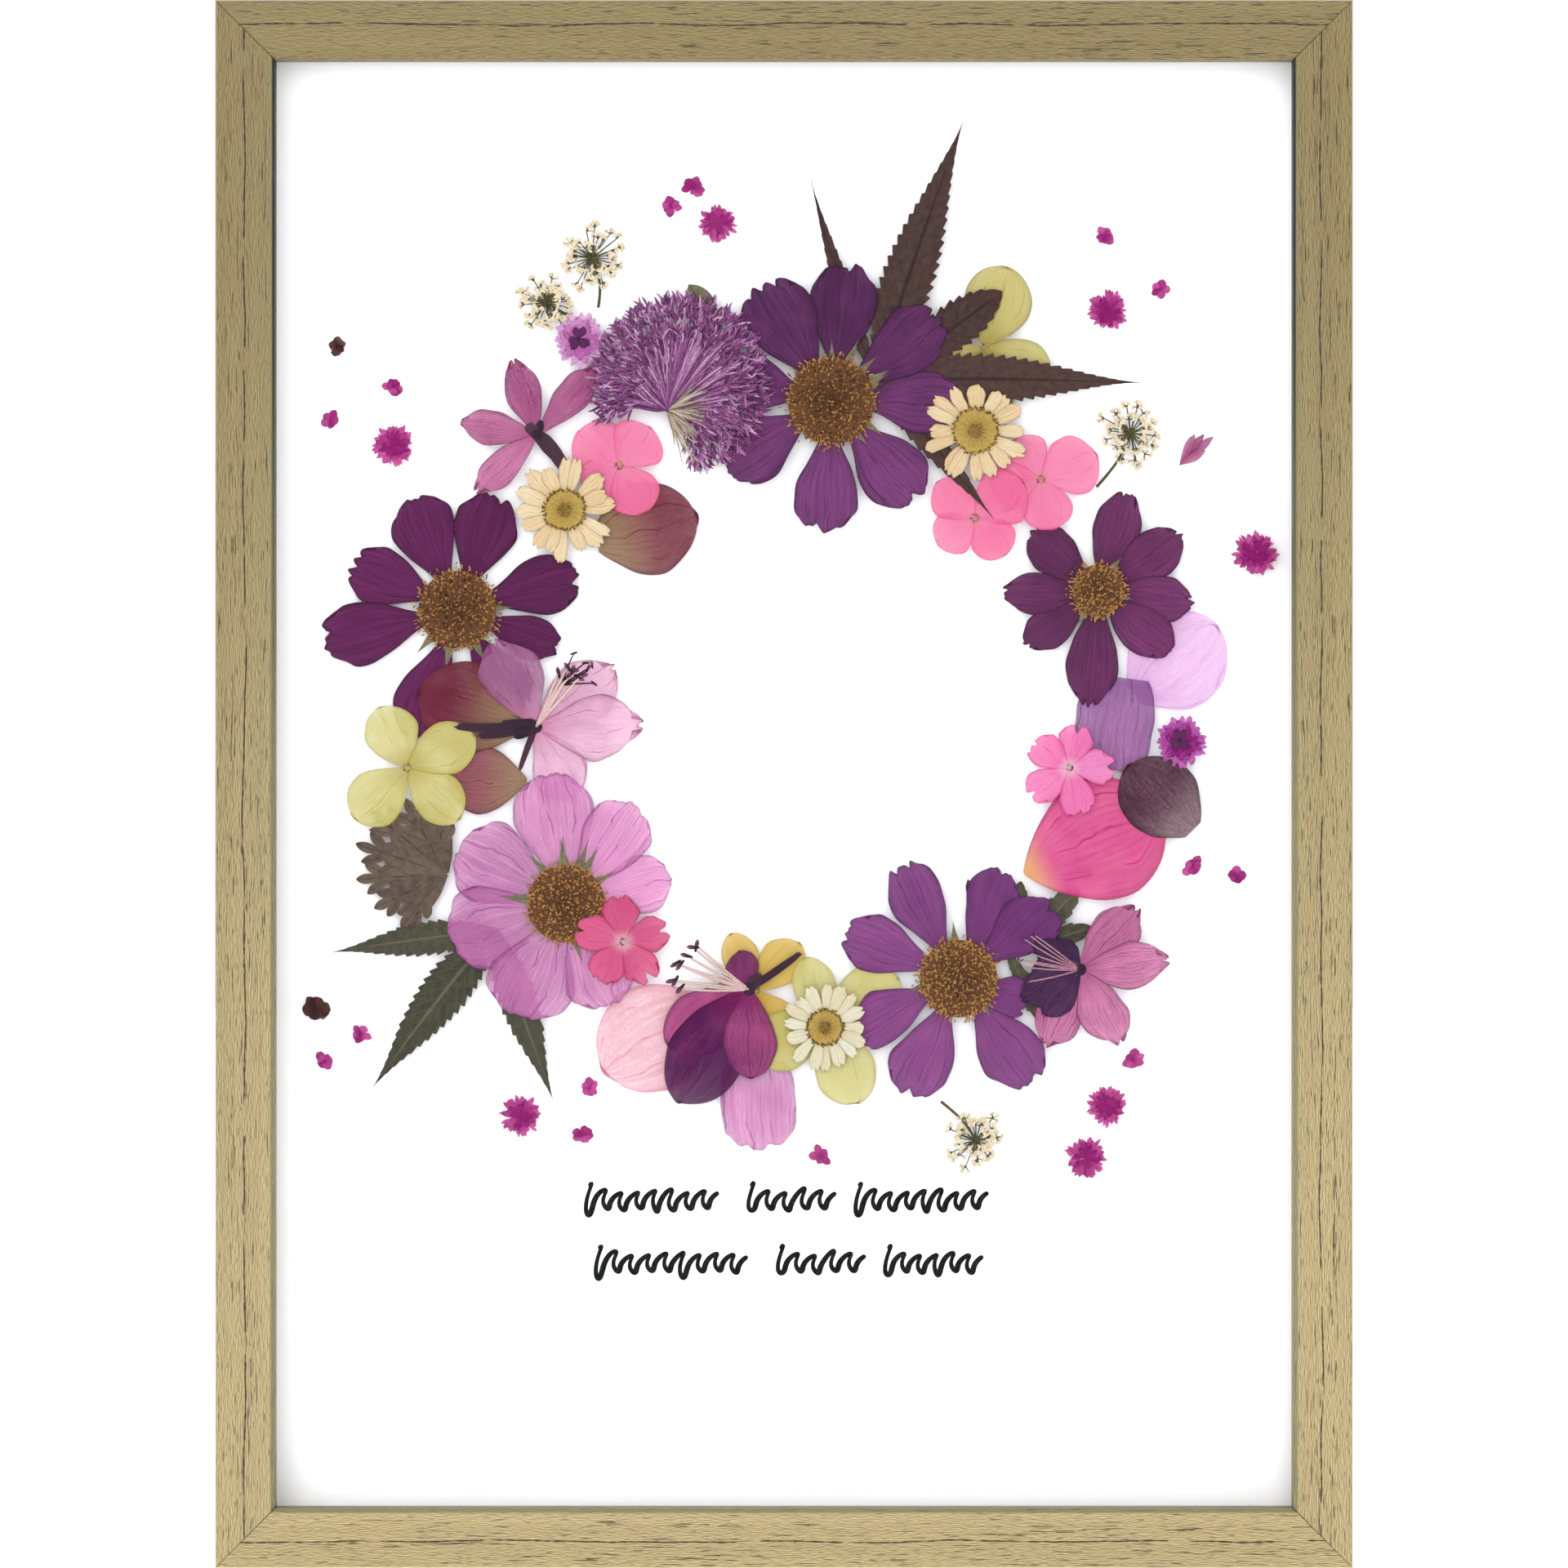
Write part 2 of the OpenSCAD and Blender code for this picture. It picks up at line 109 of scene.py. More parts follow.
class Graph:
    """A node material, or another owner's node tree, under construction."""

    def __init__(self, name, owner=None):
        self.owner = owner or bpy.data.materials.new(name)
        self.owner.use_nodes = True
        self.tree = self.owner.node_tree
        self.tree.nodes.clear()

    def value(self, kind, inputs=None, output=0, **settings):
        made = self.tree.nodes.new("ShaderNode" + kind)
        for key, setting in settings.items():
            setattr(made, key, setting)
        for key, given in (inputs or {}).items():
            if isinstance(given, Value):
                self.tree.links.new(given.socket, made.inputs[key])
            else:
                made.inputs[key].default_value = given
        return Value(self, made.outputs[output]) if made.outputs else None

    def math(self, operation, first, second=0.0):
        return self.value("Math", {0: first, 1: second}, operation=operation)

    def larger(self, first, second):
        return self.math("MAXIMUM", first, second)

    def mix(self, factor, first, second, blend="MIX"):
        return self.value("Mix", {0: factor, 6: first, 7: second}, 2, data_type="RGBA", blend_type=blend)

    def scale(self, colour, value):
        """The colour made lighter or darker."""
        return self.mix(1.0, colour, self.combine(value, value, value), "MULTIPLY")

    def ramp(self, value, *stops):
        """Stops are (position, colour) pairs."""
        made = self.value("ValToRGB", {0: value})
        ends = made.socket.node.color_ramp.elements
        while len(ends) < len(stops):
            ends.new(0.5)
        for end, (position, colour) in zip(ends, stops):
            end.position = position
            end.color = colour
        return made

    def step(self, value, low, high):
        """0 below low, 1 above high, smooth between."""
        return self.value("MapRange", {0: value, 1: low, 2: high}, interpolation_type="SMOOTHSTEP")

    def near(self, distance, low, high):
        """1 nearer than low, 0 beyond high, smooth between."""
        return 1.0 - self.step(distance, low, high)

    def line(self, phase, low, high):
        """A line in the middle of each whole step of phase."""
        return self.near(abs(self.math("FRACT", phase) - 0.5), low, high)

    def noise(self, vector, scale=1.0, detail=2.0, rough=0.5, output="Fac"):
        inputs = {"Vector": vector, "Scale": scale, "Detail": detail, "Roughness": rough}
        return self.value("TexNoise", inputs, output)

    def cells(self, vector, scale, feature):
        return self.value("TexVoronoi", {"Vector": vector, "Scale": scale}, "Distance", feature=feature)

    def combine(self, x, y, z):
        return self.value("CombineXYZ", {0: x, 1: y, 2: z})

    def position(self):
        return self.value("TexCoord", output="Object")

    def split(self, vector):
        node = self.value("SeparateXYZ", {0: vector}).socket.node
        return [Value(self, socket) for socket in node.outputs]

    def petal(self):
        """U runs across a petal from 0 to 1, V along it, and the tone differs by petal."""
        u, v, _ = self.split(self.value("UVMap", uv_map="petal"))
        return u, v, self.value("Attribute", output="Fac", attribute_name="tone")

    def skin(self, colour, rough, relief, depth, strength, shine=0.5, metallic=0.0):
        """A solid surface with its relief this many mm deep."""
        normal = self.value("Bump", {"Height": relief, "Distance": depth * MM, "Strength": strength})
        return self.value("BsdfPrincipled", {
            "Base Color": colour, "Roughness": rough, "Normal": normal, "Specular IOR Level": shine,
            "Metallic": metallic,
        })

    def finish(self, shader, output="OutputMaterial"):
        self.value(output, {0: shader})
        return self.owner


# ---- Materials: frame, panes and fittings -----------------------------------


def oak_material(name, runs_across, seed, sight=1.0):
    """Open-grained pale oak. runs_across is True where the grain follows X; sight darkens the edge."""
    g = Graph(name)
    x, y, z = g.split(g.position())
    from_side = OUTER_W / 2 - abs(x)
    from_end = OUTER_H / 2 - abs(z - MID_Z)
    along, inward = (x, from_end) if runs_across else (z, from_side)
    height = z / OUTER_H

    def grain(per_m_along, per_m_across, shift, detail=2.0, aside=0.0):
        lengthways = along * per_m_along + (seed * 3.1 + shift)
        place = g.combine(lengthways, (inward + aside) * per_m_across, y * per_m_across)
        return g.noise(place, 1.0, detail)

    # painted light and shade: the rails are painted paler at the bottom and darker towards the top
    colour = g.mix(g.step(height, 0.1, 0.95), seen(188, 170, 121), seen(142, 125, 80))
    colour = g.scale(colour, grain(6, 300, 0.0) * 0.34 + 0.83)
    # painted light and shade: each fine fibre is painted lighter on one side and darker on the other
    fibre, fibre_aside = grain(560, 4300, 5.0), grain(560, 4300, 5.0, aside=0.1 * MM)
    colour = g.scale(colour, (fibre - fibre_aside) * 2.6 + 1.0)
    dash = g.step(grain(420, 4600, 14.0, 1.0), 0.62, 0.7)
    colour = g.mix(dash * 0.55, colour, seen(92, 72, 36))
    pore = g.step(grain(190, 3600, 21.0, 1.0) + grain(8, 420, 27.0) * 0.3, 0.82, 0.86)
    colour = g.mix(pore * 0.85, colour, seen(68, 50, 24))
    # one long open pore line wanders down each rail
    wander = (grain(28, 0, 33.0, 4.0) - 0.5) * (3.2 * MM)
    off_line = abs(inward - wander - (4.4 + 0.5 * seed) * MM) + (grain(520, 0, 47.0) - 0.5) * (0.4 * MM)
    line = g.near(off_line, 0.1 * MM, 0.18 * MM) * g.step(grain(90, 0, 41.0), 0.4, 0.46)
    colour = g.mix(line * 0.95, colour, seen(46, 32, 12))
    # painted shade on the sight edge, deepest inside the side rails
    colour = g.mix(g.step(inward, 10.9 * MM, 11.3 * MM) * (0.7 * sight), colour, seen(132, 132, 96))
    # painted shadow: a near-black line along the inner edge of the side rails, on their upper part
    if not runs_across:
        gap_shadow = g.step(inward, 11.45 * MM, 11.6 * MM) * g.step(height, 0.45, 0.85)
        colour = g.mix(gap_shadow * 0.95, colour, seen(14, 12, 8))
    # the glue line of the mitres, where the distances to the two outer edges are equal
    joint = g.near(abs(from_side - from_end), 0.05 * MM, 0.24 * MM)
    colour = g.mix(joint * (inward / (24 * MM) + 0.3), colour, seen(60, 46, 24))
    # painted highlight: the outer arris is painted paler all round
    colour = g.mix(g.near(inward, 0.1 * MM, 0.5 * MM) * 0.4, colour, seen(226, 214, 170))
    return g.finish(g.skin(colour, 0.6, fibre * 0.5 - (pore + line + joint), 0.1, 0.6))


def glass_material():
    g = Graph("clear_pane")
    x, y, z = g.split(g.position())
    smear = g.noise(g.combine(x * 18.0, y, z * 7.0), 1.0, 3.0)
    gloss = g.value("BsdfGlossy", {"Color": WHITE, "Roughness": smear * 0.06})
    clear = g.value("BsdfTransparent", {"Color": (0.998, 0.999, 1.0, 1)})
    facing = g.value("LayerWeight", {"Blend": 0.12}, "Fresnel")
    return g.finish(g.value("MixShader", {0: facing * 0.25, 1: clear, 2: gloss}))


def card_material():
    g = Graph("white_card")
    fibre = g.noise(g.position(), 2600.0, 3.0)
    colour = g.mix(fibre * 0.25, srgb(247, 247, 249), srgb(242, 242, 245))
    return g.finish(g.skin(colour, 0.85, fibre, 0.03, 0.3))


def board_material():
    g = Graph("fibre_board")
    place = g.position()
    fibre = g.noise(place, 900.0, 4.0, 0.65)
    colour = g.ramp(fibre, (0.3, srgb(92, 66, 42)), (0.5, srgb(124, 92, 60)), (0.72, srgb(150, 116, 80)))
    colour = g.mix(g.noise(place, 35.0, 3.0) * 0.5, colour, srgb(108, 78, 50))
    fleck = g.near(g.cells(place, 620.0, "F1"), 0.08, 0.2)
    colour = g.mix(fleck * 0.35, colour, srgb(176, 146, 108))
    return g.finish(g.skin(colour, 0.72, fibre, 0.12, 0.5))


def steel_material():
    g = Graph("plated_steel")
    place = g.position()
    x, y, z = g.split(place)
    brushed = g.noise(g.combine(x * 900.0, y * 6000.0, z + 1.0), 1.0, 3.0)
    cloud = g.noise(place, 420.0, 3.0)
    colour = g.ramp(cloud, (0.3, srgb(136, 138, 141)), (0.7, srgb(176, 177, 178)))
    grime = g.step(g.noise(place, 1500.0, 4.0), 0.58, 0.75)
    colour = g.mix(grime * 0.4, colour, srgb(120, 112, 98))
    return g.finish(g.skin(colour, brushed * 0.25 + 0.22, brushed, 0.01, 0.5, metallic=1.0))


def rubber_material():
    g = Graph("soft_rubber")
    grain = g.noise(g.position(), 3200.0, 2.0)
    return g.finish(g.skin(g.mix(grain, srgb(34, 34, 35), srgb(58, 58, 58)), 0.75, grain, 0.03, 0.5))


# ---- Materials: flowers and leaves ------------------------------------------


def tissue_material(name, dark, light, base, vein, lines=9.0, line_share=0.35, net=0.0, clear=0.1, soft=1.0,
                    base_reach=0.42):
    """Dried petal, with its colour between dark and light by the petal's tone.

    lines is the number of veins across, net adds a mesh of fine veins, clear is how much shows through
    both skins, soft is the strength of the streaks, and base_reach is how far the base colour spreads.
    """
    dark, light, base, vein = (seen(*colour, clear) for colour in (dark, light, base, vein))
    g = Graph(name)
    place = g.position()
    u, v, tone = g.petal()
    across = u * 2.0 - 1.0
    shift = tone * 37.0
    streak = g.noise(g.combine(across * (0.9 * lines), v * 1.6, shift), 1.0, 4.0, 0.6)
    colour = g.mix(tone + (g.noise(place, 180.0, 3.0) - 0.5) * 0.9, dark, light)
    colour = g.mix(g.near(v, 0.0, base_reach) * 0.85, colour, base)
    # main veins fan out from the base, a little crooked
    sway = g.noise(g.combine(across, v * 3.0, shift)) * 1.6
    phase = across * (lines / 2) + sway
    rib = g.line(phase, 0.02, 0.15) * g.step(g.noise(g.combine(phase, v * 5.0, shift)), 0.3, 0.6)
    darker = rib * line_share
    if net:
        warp = g.noise(place, 500.0, output="Color")
        bent = g.value("Mix", {0: 0.0015, 4: place, 5: warp}, 1, data_type="VECTOR")
        mesh = g.near(g.cells(bent, 700.0, "DISTANCE_TO_EDGE"), 0.0, 0.12)
        darker = g.larger(darker, mesh * net)
    colour = g.mix(darker, colour, vein)
    colour = g.scale(colour, streak * (0.8 * soft) + (1.0 - 0.4 * soft))
    # pale specks of pollen, and a thin darker rim where the petal has dried
    speck = g.step(g.noise(place, 1500.0, 1.0), 0.76, 0.8)
    colour = g.mix(speck * 0.35, colour, light)
    colour = g.mix(g.larger(abs(across) ** 12.0, v**60.0) * 0.85, colour, vein)
    # a few long thin folds, each broken into lengths
    broken = g.step(g.noise(g.combine(shift, v * 4.0, across)), 0.44, 0.54)
    fold = g.line(across * 1.6 + (sway * 0.5 + shift), 0.01, 0.035) * broken
    colour = g.mix(fold * 0.65, colour, vein)
    skin = g.skin(colour, 0.6, streak - rib * 0.5 - fold * 0.5, 0.08, 0.6, shine=0.15)
    # less shows through the veins and folds, and more through the thin streaks
    uneven = min(soft, 1.0)
    thin = streak * uneven + (1.0 - 0.5 * uneven)
    thin = thin * (1.0 - g.larger(darker, fold * 0.65) * uneven) * math.sqrt(clear)
    return g.finish(g.value("MixShader", {0: thin, 1: skin, 2: g.value("BsdfTransparent")}))


def leaf_material(name, dark, light, vein, tip=None):
    """Dried leaf with a midrib and slanting side veins."""
    g = Graph(name)
    u, v, tone = g.petal()
    from_rib = abs(u * 2.0 - 1.0)
    side_vein = g.line(v * 15.0 - from_rib * 2.2, 0.0, 0.1)
    veins = g.larger(side_vein * 0.3, g.near(from_rib, 0.02, 0.1) * 0.75)
    mottle = g.noise(g.position(), 700.0, 4.0, 0.65)
    colour = g.mix((mottle - 0.3) * 1.6 + tone * 0.3, seen(*dark), seen(*light))
    colour = g.mix(veins, colour, seen(*vein))
    colour = g.mix(g.step(v, 0.86, 1.0) * 0.6, colour, seen(*(tip or dark)))
    return g.finish(g.skin(colour, 0.7, mottle * 0.8 - veins, 0.1, 0.7, shine=0.2))


def grain_material(name, dark, middle, light, roughness=0.7):
    """Small parts such as disc florets, stamens and stems: the colour follows each one's tone."""
    g = Graph(name)
    _, v, tone = g.petal()
    speck = g.noise(g.position(), 2400.0, 3.0)
    value = tone + (speck - 0.5) * 0.5 + (v - 0.5) * 0.25
    colour = g.ramp(value, (0.05, seen(*dark)), (0.5, seen(*middle)), (0.95, seen(*light)))
    return g.finish(g.skin(colour, roughness, speck, 0.04, 0.6, shine=0.2))


def ink_material():
    g = Graph("black_ink")
    soak = g.noise(g.position(), 3000.0, 2.0)
    return g.finish(g.skin(g.mix(soak, srgb(10, 10, 11), srgb(22, 22, 23)), 0.7, 0.0, 0.0, 0.0, shine=0.1))


# ---- Thin tissue meshes, in millimetres ----------------------------------------

# How a petal's half width changes from its base to its tip, and how its tip is cut
PLAIN = dict(blunt=0.0, fall=0.5, corner=0.0, teeth=0, tooth=0.0, rough=0.04)
ROUND_PETAL = dict(PLAIN, base=0.1, swell=1.0, belly=0.6)
ROSE_PETAL = dict(PLAIN, base=0.02, swell=0.85, belly=0.62)
BROAD_PETAL = dict(PLAIN, base=0.25, swell=0.9, belly=0.52, fall=0.48)
BLUNT_LOBE = dict(PLAIN, base=0.25, swell=1.1, belly=0.66, fall=0.6)
LANCE_LOBE = dict(PLAIN, base=0.2, swell=1.0, belly=0.36, fall=1.6, rough=0.03)
BAR_LOBE = dict(PLAIN, base=0.6, swell=0.7, belly=0.3, blunt=0.55, corner=0.05, rough=0.08)
CUT = dict(PLAIN, teeth=2, rough=0.05)
COSMOS_RAY = dict(CUT, base=0.12, swell=1.8, belly=0.74, blunt=0.7, corner=0.09, teeth=3, tooth=0.045)
WIDE_RAY = dict(COSMOS_RAY, base=0.16, swell=1.3, blunt=0.6, corner=0.1, teeth=4, tooth=0.012, rough=0.04)
NARROW_RAY = dict(CUT, base=0.26, swell=1.1, belly=0.6, blunt=0.42, corner=0.08, teeth=3, tooth=0.045)
DAISY_RAY = dict(CUT, base=0.5, swell=1.0, belly=0.75, blunt=0.7, corner=0.1, tooth=0.06, rough=0.09)
SQUARE_PETAL = dict(
    CUT, base=0.7, swell=0.7, belly=0.4, blunt=0.84, fall=0.7, corner=0.06, tooth=0.03, rough=0.03
)
TOOTHED_PETAL = dict(SQUARE_PETAL, corner=0.16, teeth=3, tooth=0.05)
NOTCHED_PETAL = dict(CUT, base=0.1, swell=1.3, belly=0.7, blunt=0.68, corner=0.04, tooth=0.15)
SPOON_PETAL = dict(CUT, base=0.1, swell=1.2, belly=0.62, blunt=0.2, corner=0.06, tooth=0.03, rough=0.07)


def unit(value):
    """The value held between 0 and 1."""
    return min(max(value, 0.0), 1.0)


def path(x, depth, z):
    """Points for a thread. depth may be one number for them all."""
    return np.stack(np.broadcast_arrays(x, depth, z), -1)


def walk(start, reach, heading, depth):
    """The path this far from its start along one or more headings, in radians."""
    return path(start[0] + reach * np.cos(heading), depth, start[1] + reach * np.sin(heading))


def straight(start, end, steps, depth, aside=0.0):
    """The path between two points, moved aside along X."""
    x, z = (start[k] + (end[k] - start[k]) * steps for k in (0, 1))
    return path(x + aside, depth, z)


def polar(centre, angle, reach):
    turn = math.radians(angle)
    return centre[0] + reach * math.cos(turn), centre[1] + reach * math.sin(turn)


class Tissue:
    """Gathers thin petals, threads and grains, and makes one mesh object of them."""

    def __init__(self, seed):
        draw = np.random.RandomState(seed)
        self.rand, self.normal, self.uniform, self.beta = draw.rand, draw.normal, draw.uniform, draw.beta
        self.parts = []
        self.count = 0

    def _add(self, points, faces, maps, tone):
        self.parts.append((points.reshape(-1, 3), faces + self.count, maps.reshape(-1, 2), tone))
        self.count += len(self.parts[-1][0])

    def _wobble(self, t, waves=4):
        """A smooth random wave over t, about one unit high."""
        total = np.zeros_like(t)
        for k in range(1, waves + 1):
            total += np.sin(TURN * (k * t * 0.9 + self.rand())) / (k * 0.9)
        return total / 1.6

    def petal(self, base, angle, length, width, shape, depth, tone, fine=(24, 13), bend=0.0,
              serrate=(0, 0.0), thick=0.05):
        """One closed thin petal. base is (x, z), and angle is anticlockwise from +X seen from the front.

        fine is the number of rows and columns of points, and serrate is the number of saw teeth down
        each side and their depth.
        """
        rows, columns = fine
        share = np.linspace(0, 1, rows)
        u = share if serrate[0] else (1 - np.cos(math.pi * share)) / 2
        v = np.linspace(-1, 1, columns)
        u_all, v_all = np.meshgrid(u, v, indexing="ij")
        rise = np.sin(math.pi / 2 * np.clip(u_all / shape["belly"], 0, 1)) ** shape["swell"]
        past = np.clip((u_all - shape["belly"]) / (1 - shape["belly"]), 0, 1)
        drop = np.clip(np.cos(math.pi / 2 * past), 0, 1) ** shape["fall"]
        inner = shape["base"] + (1 - shape["base"]) * rise
        outer = shape["blunt"] + (1 - shape["blunt"]) * drop
        half = width / 2 * np.where(u_all < shape["belly"], inner, outer)
        left, right = self._wobble(u)[:, None], self._wobble(u)[:, None]
        side = np.where(v_all < 0, left, right)
        half = half * (1 + shape["rough"] * np.abs(v_all) * side)
        if serrate[0]:
            saw = 1 - np.mod(u_all * serrate[0] + 0.3 * np.sign(v_all), 1.0)
            half = half * (1 - serrate[1] * np.abs(v_all) ** 4 * saw)
        scallop = 1 - np.abs(np.sin(math.pi * shape["teeth"] * (v_all + 1) / 2)) if shape["teeth"] else 0.0
        cut = shape["corner"] * np.abs(v_all) ** 2.5
        cut = cut + shape["tooth"] * scallop * (1 + 0.8 * self._wobble(v, 3)[None, :])
        cut = cut + 0.4 * shape["rough"] * self._wobble(v)[None, :]
        x = length * (u_all - cut * u_all**4)
        y = half * v_all + bend * length * u_all**2
        turn = math.radians(angle)
        # a shallow crease down the middle of a slightly wavy sheet
        relief = 0.03 * (np.exp(-((v_all / 0.15) ** 2)) - 0.6 * self._wobble(u_all + 0.7 * v_all, 3))
        points = path(
            base[0] + x * math.cos(turn) - y * math.sin(turn), depth + relief,
            base[1] + x * math.sin(turn) + y * math.cos(turn),
        )
        self._sheet(points, u_all, (v_all + 1) / 2, thick, tone)

    def _sheet(self, points, along, across, thick, tone):
        """A front skin, a back skin and a rim; the rim has its own points, so its edges stay crisp."""
        rows, columns = along.shape
        maps = np.stack([across, along], axis=-1)
        index = np.arange(rows * columns).reshape(rows, columns)
        cell = np.stack([index[:-1, :-1], index[1:, :-1], index[1:, 1:], index[:-1, 1:]], -1).reshape(-1, 4)
        front, back = points.copy(), points.copy()
        front[..., 1] -= thick / 2
        back[..., 1] += thick / 2
        self._add(front, cell, maps, tone)
        self._add(back, cell[:, ::-1], maps, tone)
        loop = np.concatenate([index[:-1, 0], index[-1, :-1], index[:0:-1, -1], index[0, :0:-1]])
        rim_maps = maps.reshape(-1, 2)[loop]
        rim = np.concatenate([front.reshape(-1, 3)[loop], back.reshape(-1, 3)[loop]])
        n = len(loop)
        here, after = np.arange(n), (np.arange(n) + 1) % n
        self._add(rim, np.stack([after, here, here + n, after + n], -1), np.tile(rim_maps, (2, 1)), tone)

    def thread(self, points, radii, tone, flat=0.6, fade=0.0):
        """A thin round or flattened stalk along a path of (x, depth, z) points."""
        points = np.asarray(points, float)
        radii = np.asarray(radii, float)[:, None]
        run = np.gradient(points, axis=0)
        run /= np.linalg.norm(run, axis=1, keepdims=True) + 1e-9
        side = path(-run[:, 2], 0.0, run[:, 0])
        deep = np.array([0.0, flat, 0.0])
        ring = [points + radii * side, points - radii * deep, points - radii * side, points + radii * deep]
        n = len(points)
        index = np.arange(n * 4).reshape(n, 4)
        after = np.roll(index, -1, axis=1)
        faces = np.stack([index[:-1], after[:-1], after[1:], index[1:]], -1).reshape(-1, 4)
        ends = np.array([index[0, ::-1], index[-1]])
        along = np.linspace(0, 1, n)[:, None] * np.ones((1, 4))
        maps = np.stack([np.full_like(along, 0.5), along], -1)
        tones = tone + fade * along.reshape(-1)
        self._add(np.stack(ring, axis=1), np.concatenate([faces, ends]), maps, tones)

    def grain(self, at, angle, length, radius, depth, tone, lift=0.0):
        """A short bud, fatter towards its far end."""
        steps = np.array([0.0, 0.3, 0.75, 1.0])
        run = walk(at, steps * length, math.radians(angle), depth - steps * lift)
        self.thread(run, radius * np.array([0.45, 0.8, 1.1, 0.35]), tone, flat=0.9, fade=0.25)

    def dome(self, centre, radius, height, depth, tone, ridges=0, ridge=0.0, rings=12, spokes=96):
        """A low round button with optional radial ridges."""
        r = np.linspace(0.002, 1, rings)[:, None]
        a = np.linspace(0, TURN, spokes, endpoint=False)[None, :]
        bulge = height * np.sqrt(np.clip(1 - r**2.4, 0, 1)) + 0 * a
        bulge = bulge + ridge * np.cos(ridges * a) * r * (1 - r) * 4
        points = walk(centre, radius * r, a, depth - bulge)
        index = np.arange(rings * spokes).reshape(rings, spokes)
        after = np.roll(index, -1, axis=1)
        faces = np.stack([index[:-1], index[1:], after[1:], after[:-1]], -1).reshape(-1, 4)
        maps = np.stack([np.broadcast_to(a / TURN, bulge.shape), np.broadcast_to(r, bulge.shape)], -1)
        self._add(points, faces, maps, tone)

    def build(self, name, material, slot, *nodes):
        """The mesh object; it rides on the frame and stands for the CAD nodes named."""
        points, faces, maps = (np.concatenate([part[k] for part in self.parts]) for k in range(3))
        tones = np.concatenate([np.broadcast_to(part[3], len(part[0])) for part in self.parts])
        mesh = bpy.data.meshes.new(name)
        mesh.from_pydata((points * MM).tolist(), [], faces.tolist())
        mesh.polygons.foreach_set("use_smooth", np.ones(len(faces), bool))
        mesh.attributes.new("tone", "FLOAT", "POINT").data.foreach_set("value", tones.astype(np.float32))
        layer = mesh.uv_layers.new(name="petal")
        layer.data.foreach_set("uv", maps[faces.ravel()].astype(np.float32).ravel())
        mesh.update()
        made = add_object(name, mesh)
        mesh.materials.append(MATERIALS[material])
        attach(made, BODY)
        if nodes:
            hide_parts(*nodes)


def add_object(name, data):
    made = bpy.data.objects.new(name, data)
    bpy.context.scene.collection.objects.link(made)
    return made


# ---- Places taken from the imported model, in millimetres --------------------------


class Place:
    """Where one CAD node, or one of its separate solids, lies in the plane of the flowers."""

    def __init__(self, low, high):
        self.low, self.high = np.array(low) / MM, np.array(high) / MM
        self.centre = self.spot(0.5, 0.5)
        self.radius = max(self.high[0] - self.low[0], self.high[2] - self.low[2]) / 2
        self.back = self.high[1]

    def spot(self, share_x, share_z):
        """A point inside the box, by its share of the way across and up."""
        x, _, z = self.low + np.array((share_x, 0, share_z)) * (self.high - self.low)
        return x, z


def place_of(node):
    return Place(*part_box(node))


def islands(node):
    """The node's separate solids as places, from left to right."""
    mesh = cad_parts[node].data
    points = np.empty(len(mesh.vertices) * 3)
    mesh.vertices.foreach_get("co", points)
    points = points.reshape(-1, 3)
    _, group = np.unique(np.round(points, 6), axis=0, return_inverse=True)
    group = group.ravel()
    edges = np.empty(len(mesh.edges) * 2, int)
    mesh.edges.foreach_get("vertices", edges)
    edges = group[edges.reshape(-1, 2)]
    label = np.arange(group.max() + 1)
    while True:
        low = np.minimum(label[edges[:, 0]], label[edges[:, 1]])
        before = label.copy()
        np.minimum.at(label, edges[:, 0], low)
        np.minimum.at(label, edges[:, 1], low)
        label = label[label]
        if np.array_equal(before, label):
            break
    owner = label[group]
    solids = (points[owner == k] for k in np.unique(owner))
    return sorted((Place(solid.min(0), solid.max(0)) for solid in solids), key=lambda place: place.centre)


# ---- Flowers ------------------------------------------------------------------


def seed_disc(name, centre, radius, depth, seed, brightness):
    """The spiky brown middle of a cosmos: a dome under packed florets, with golden ones round its rim."""
    disc = Tissue(seed)
    disc.dome(centre, 0.95 * radius, 0.16, depth, 0.3, rings=8, spokes=48)
    florets = int(7.5 * radius**2)
    for i in range(florets):
        share = math.sqrt((i + 0.5) / florets)
        angle = i * GOLDEN_ANGLE + disc.normal(0, 10)
        at = polar(centre, angle, radius * share * 0.96)
        height = 0.3 - 0.18 * share**2 + 0.1 * disc.rand()
        tone = brightness - 0.1 + 0.3 * max(share - 0.5, 0) + disc.normal(0, 0.24)
        disc.grain(
            at, 360 * disc.rand(), disc.uniform(0.35, 0.85), disc.uniform(0.13, 0.27),
            depth - height, unit(tone), 0.1,
        )
    spikes = int(13 * radius)
    for i in range(spikes):
        angle = 360 * i / spikes + disc.normal(0, 3)
        at = polar(centre, angle, radius * disc.uniform(0.8, 1.02))
        disc.grain(
            at, angle + disc.normal(0, 26), disc.uniform(0.5, 1.3), disc.uniform(0.12, 0.19),
            depth - 0.22, unit(brightness + disc.normal(0.3, 0.22)), 0.1,
        )
    for _ in range(12):
        angle = 360 * disc.rand()
        at = polar(centre, angle, radius * disc.uniform(1.0, 1.12))
        disc.grain(at, angle + disc.normal(0, 50), 0.6, 0.16, depth - 0.12, 0.6)
    disc.build(name, "seed_gold", "seed_head")


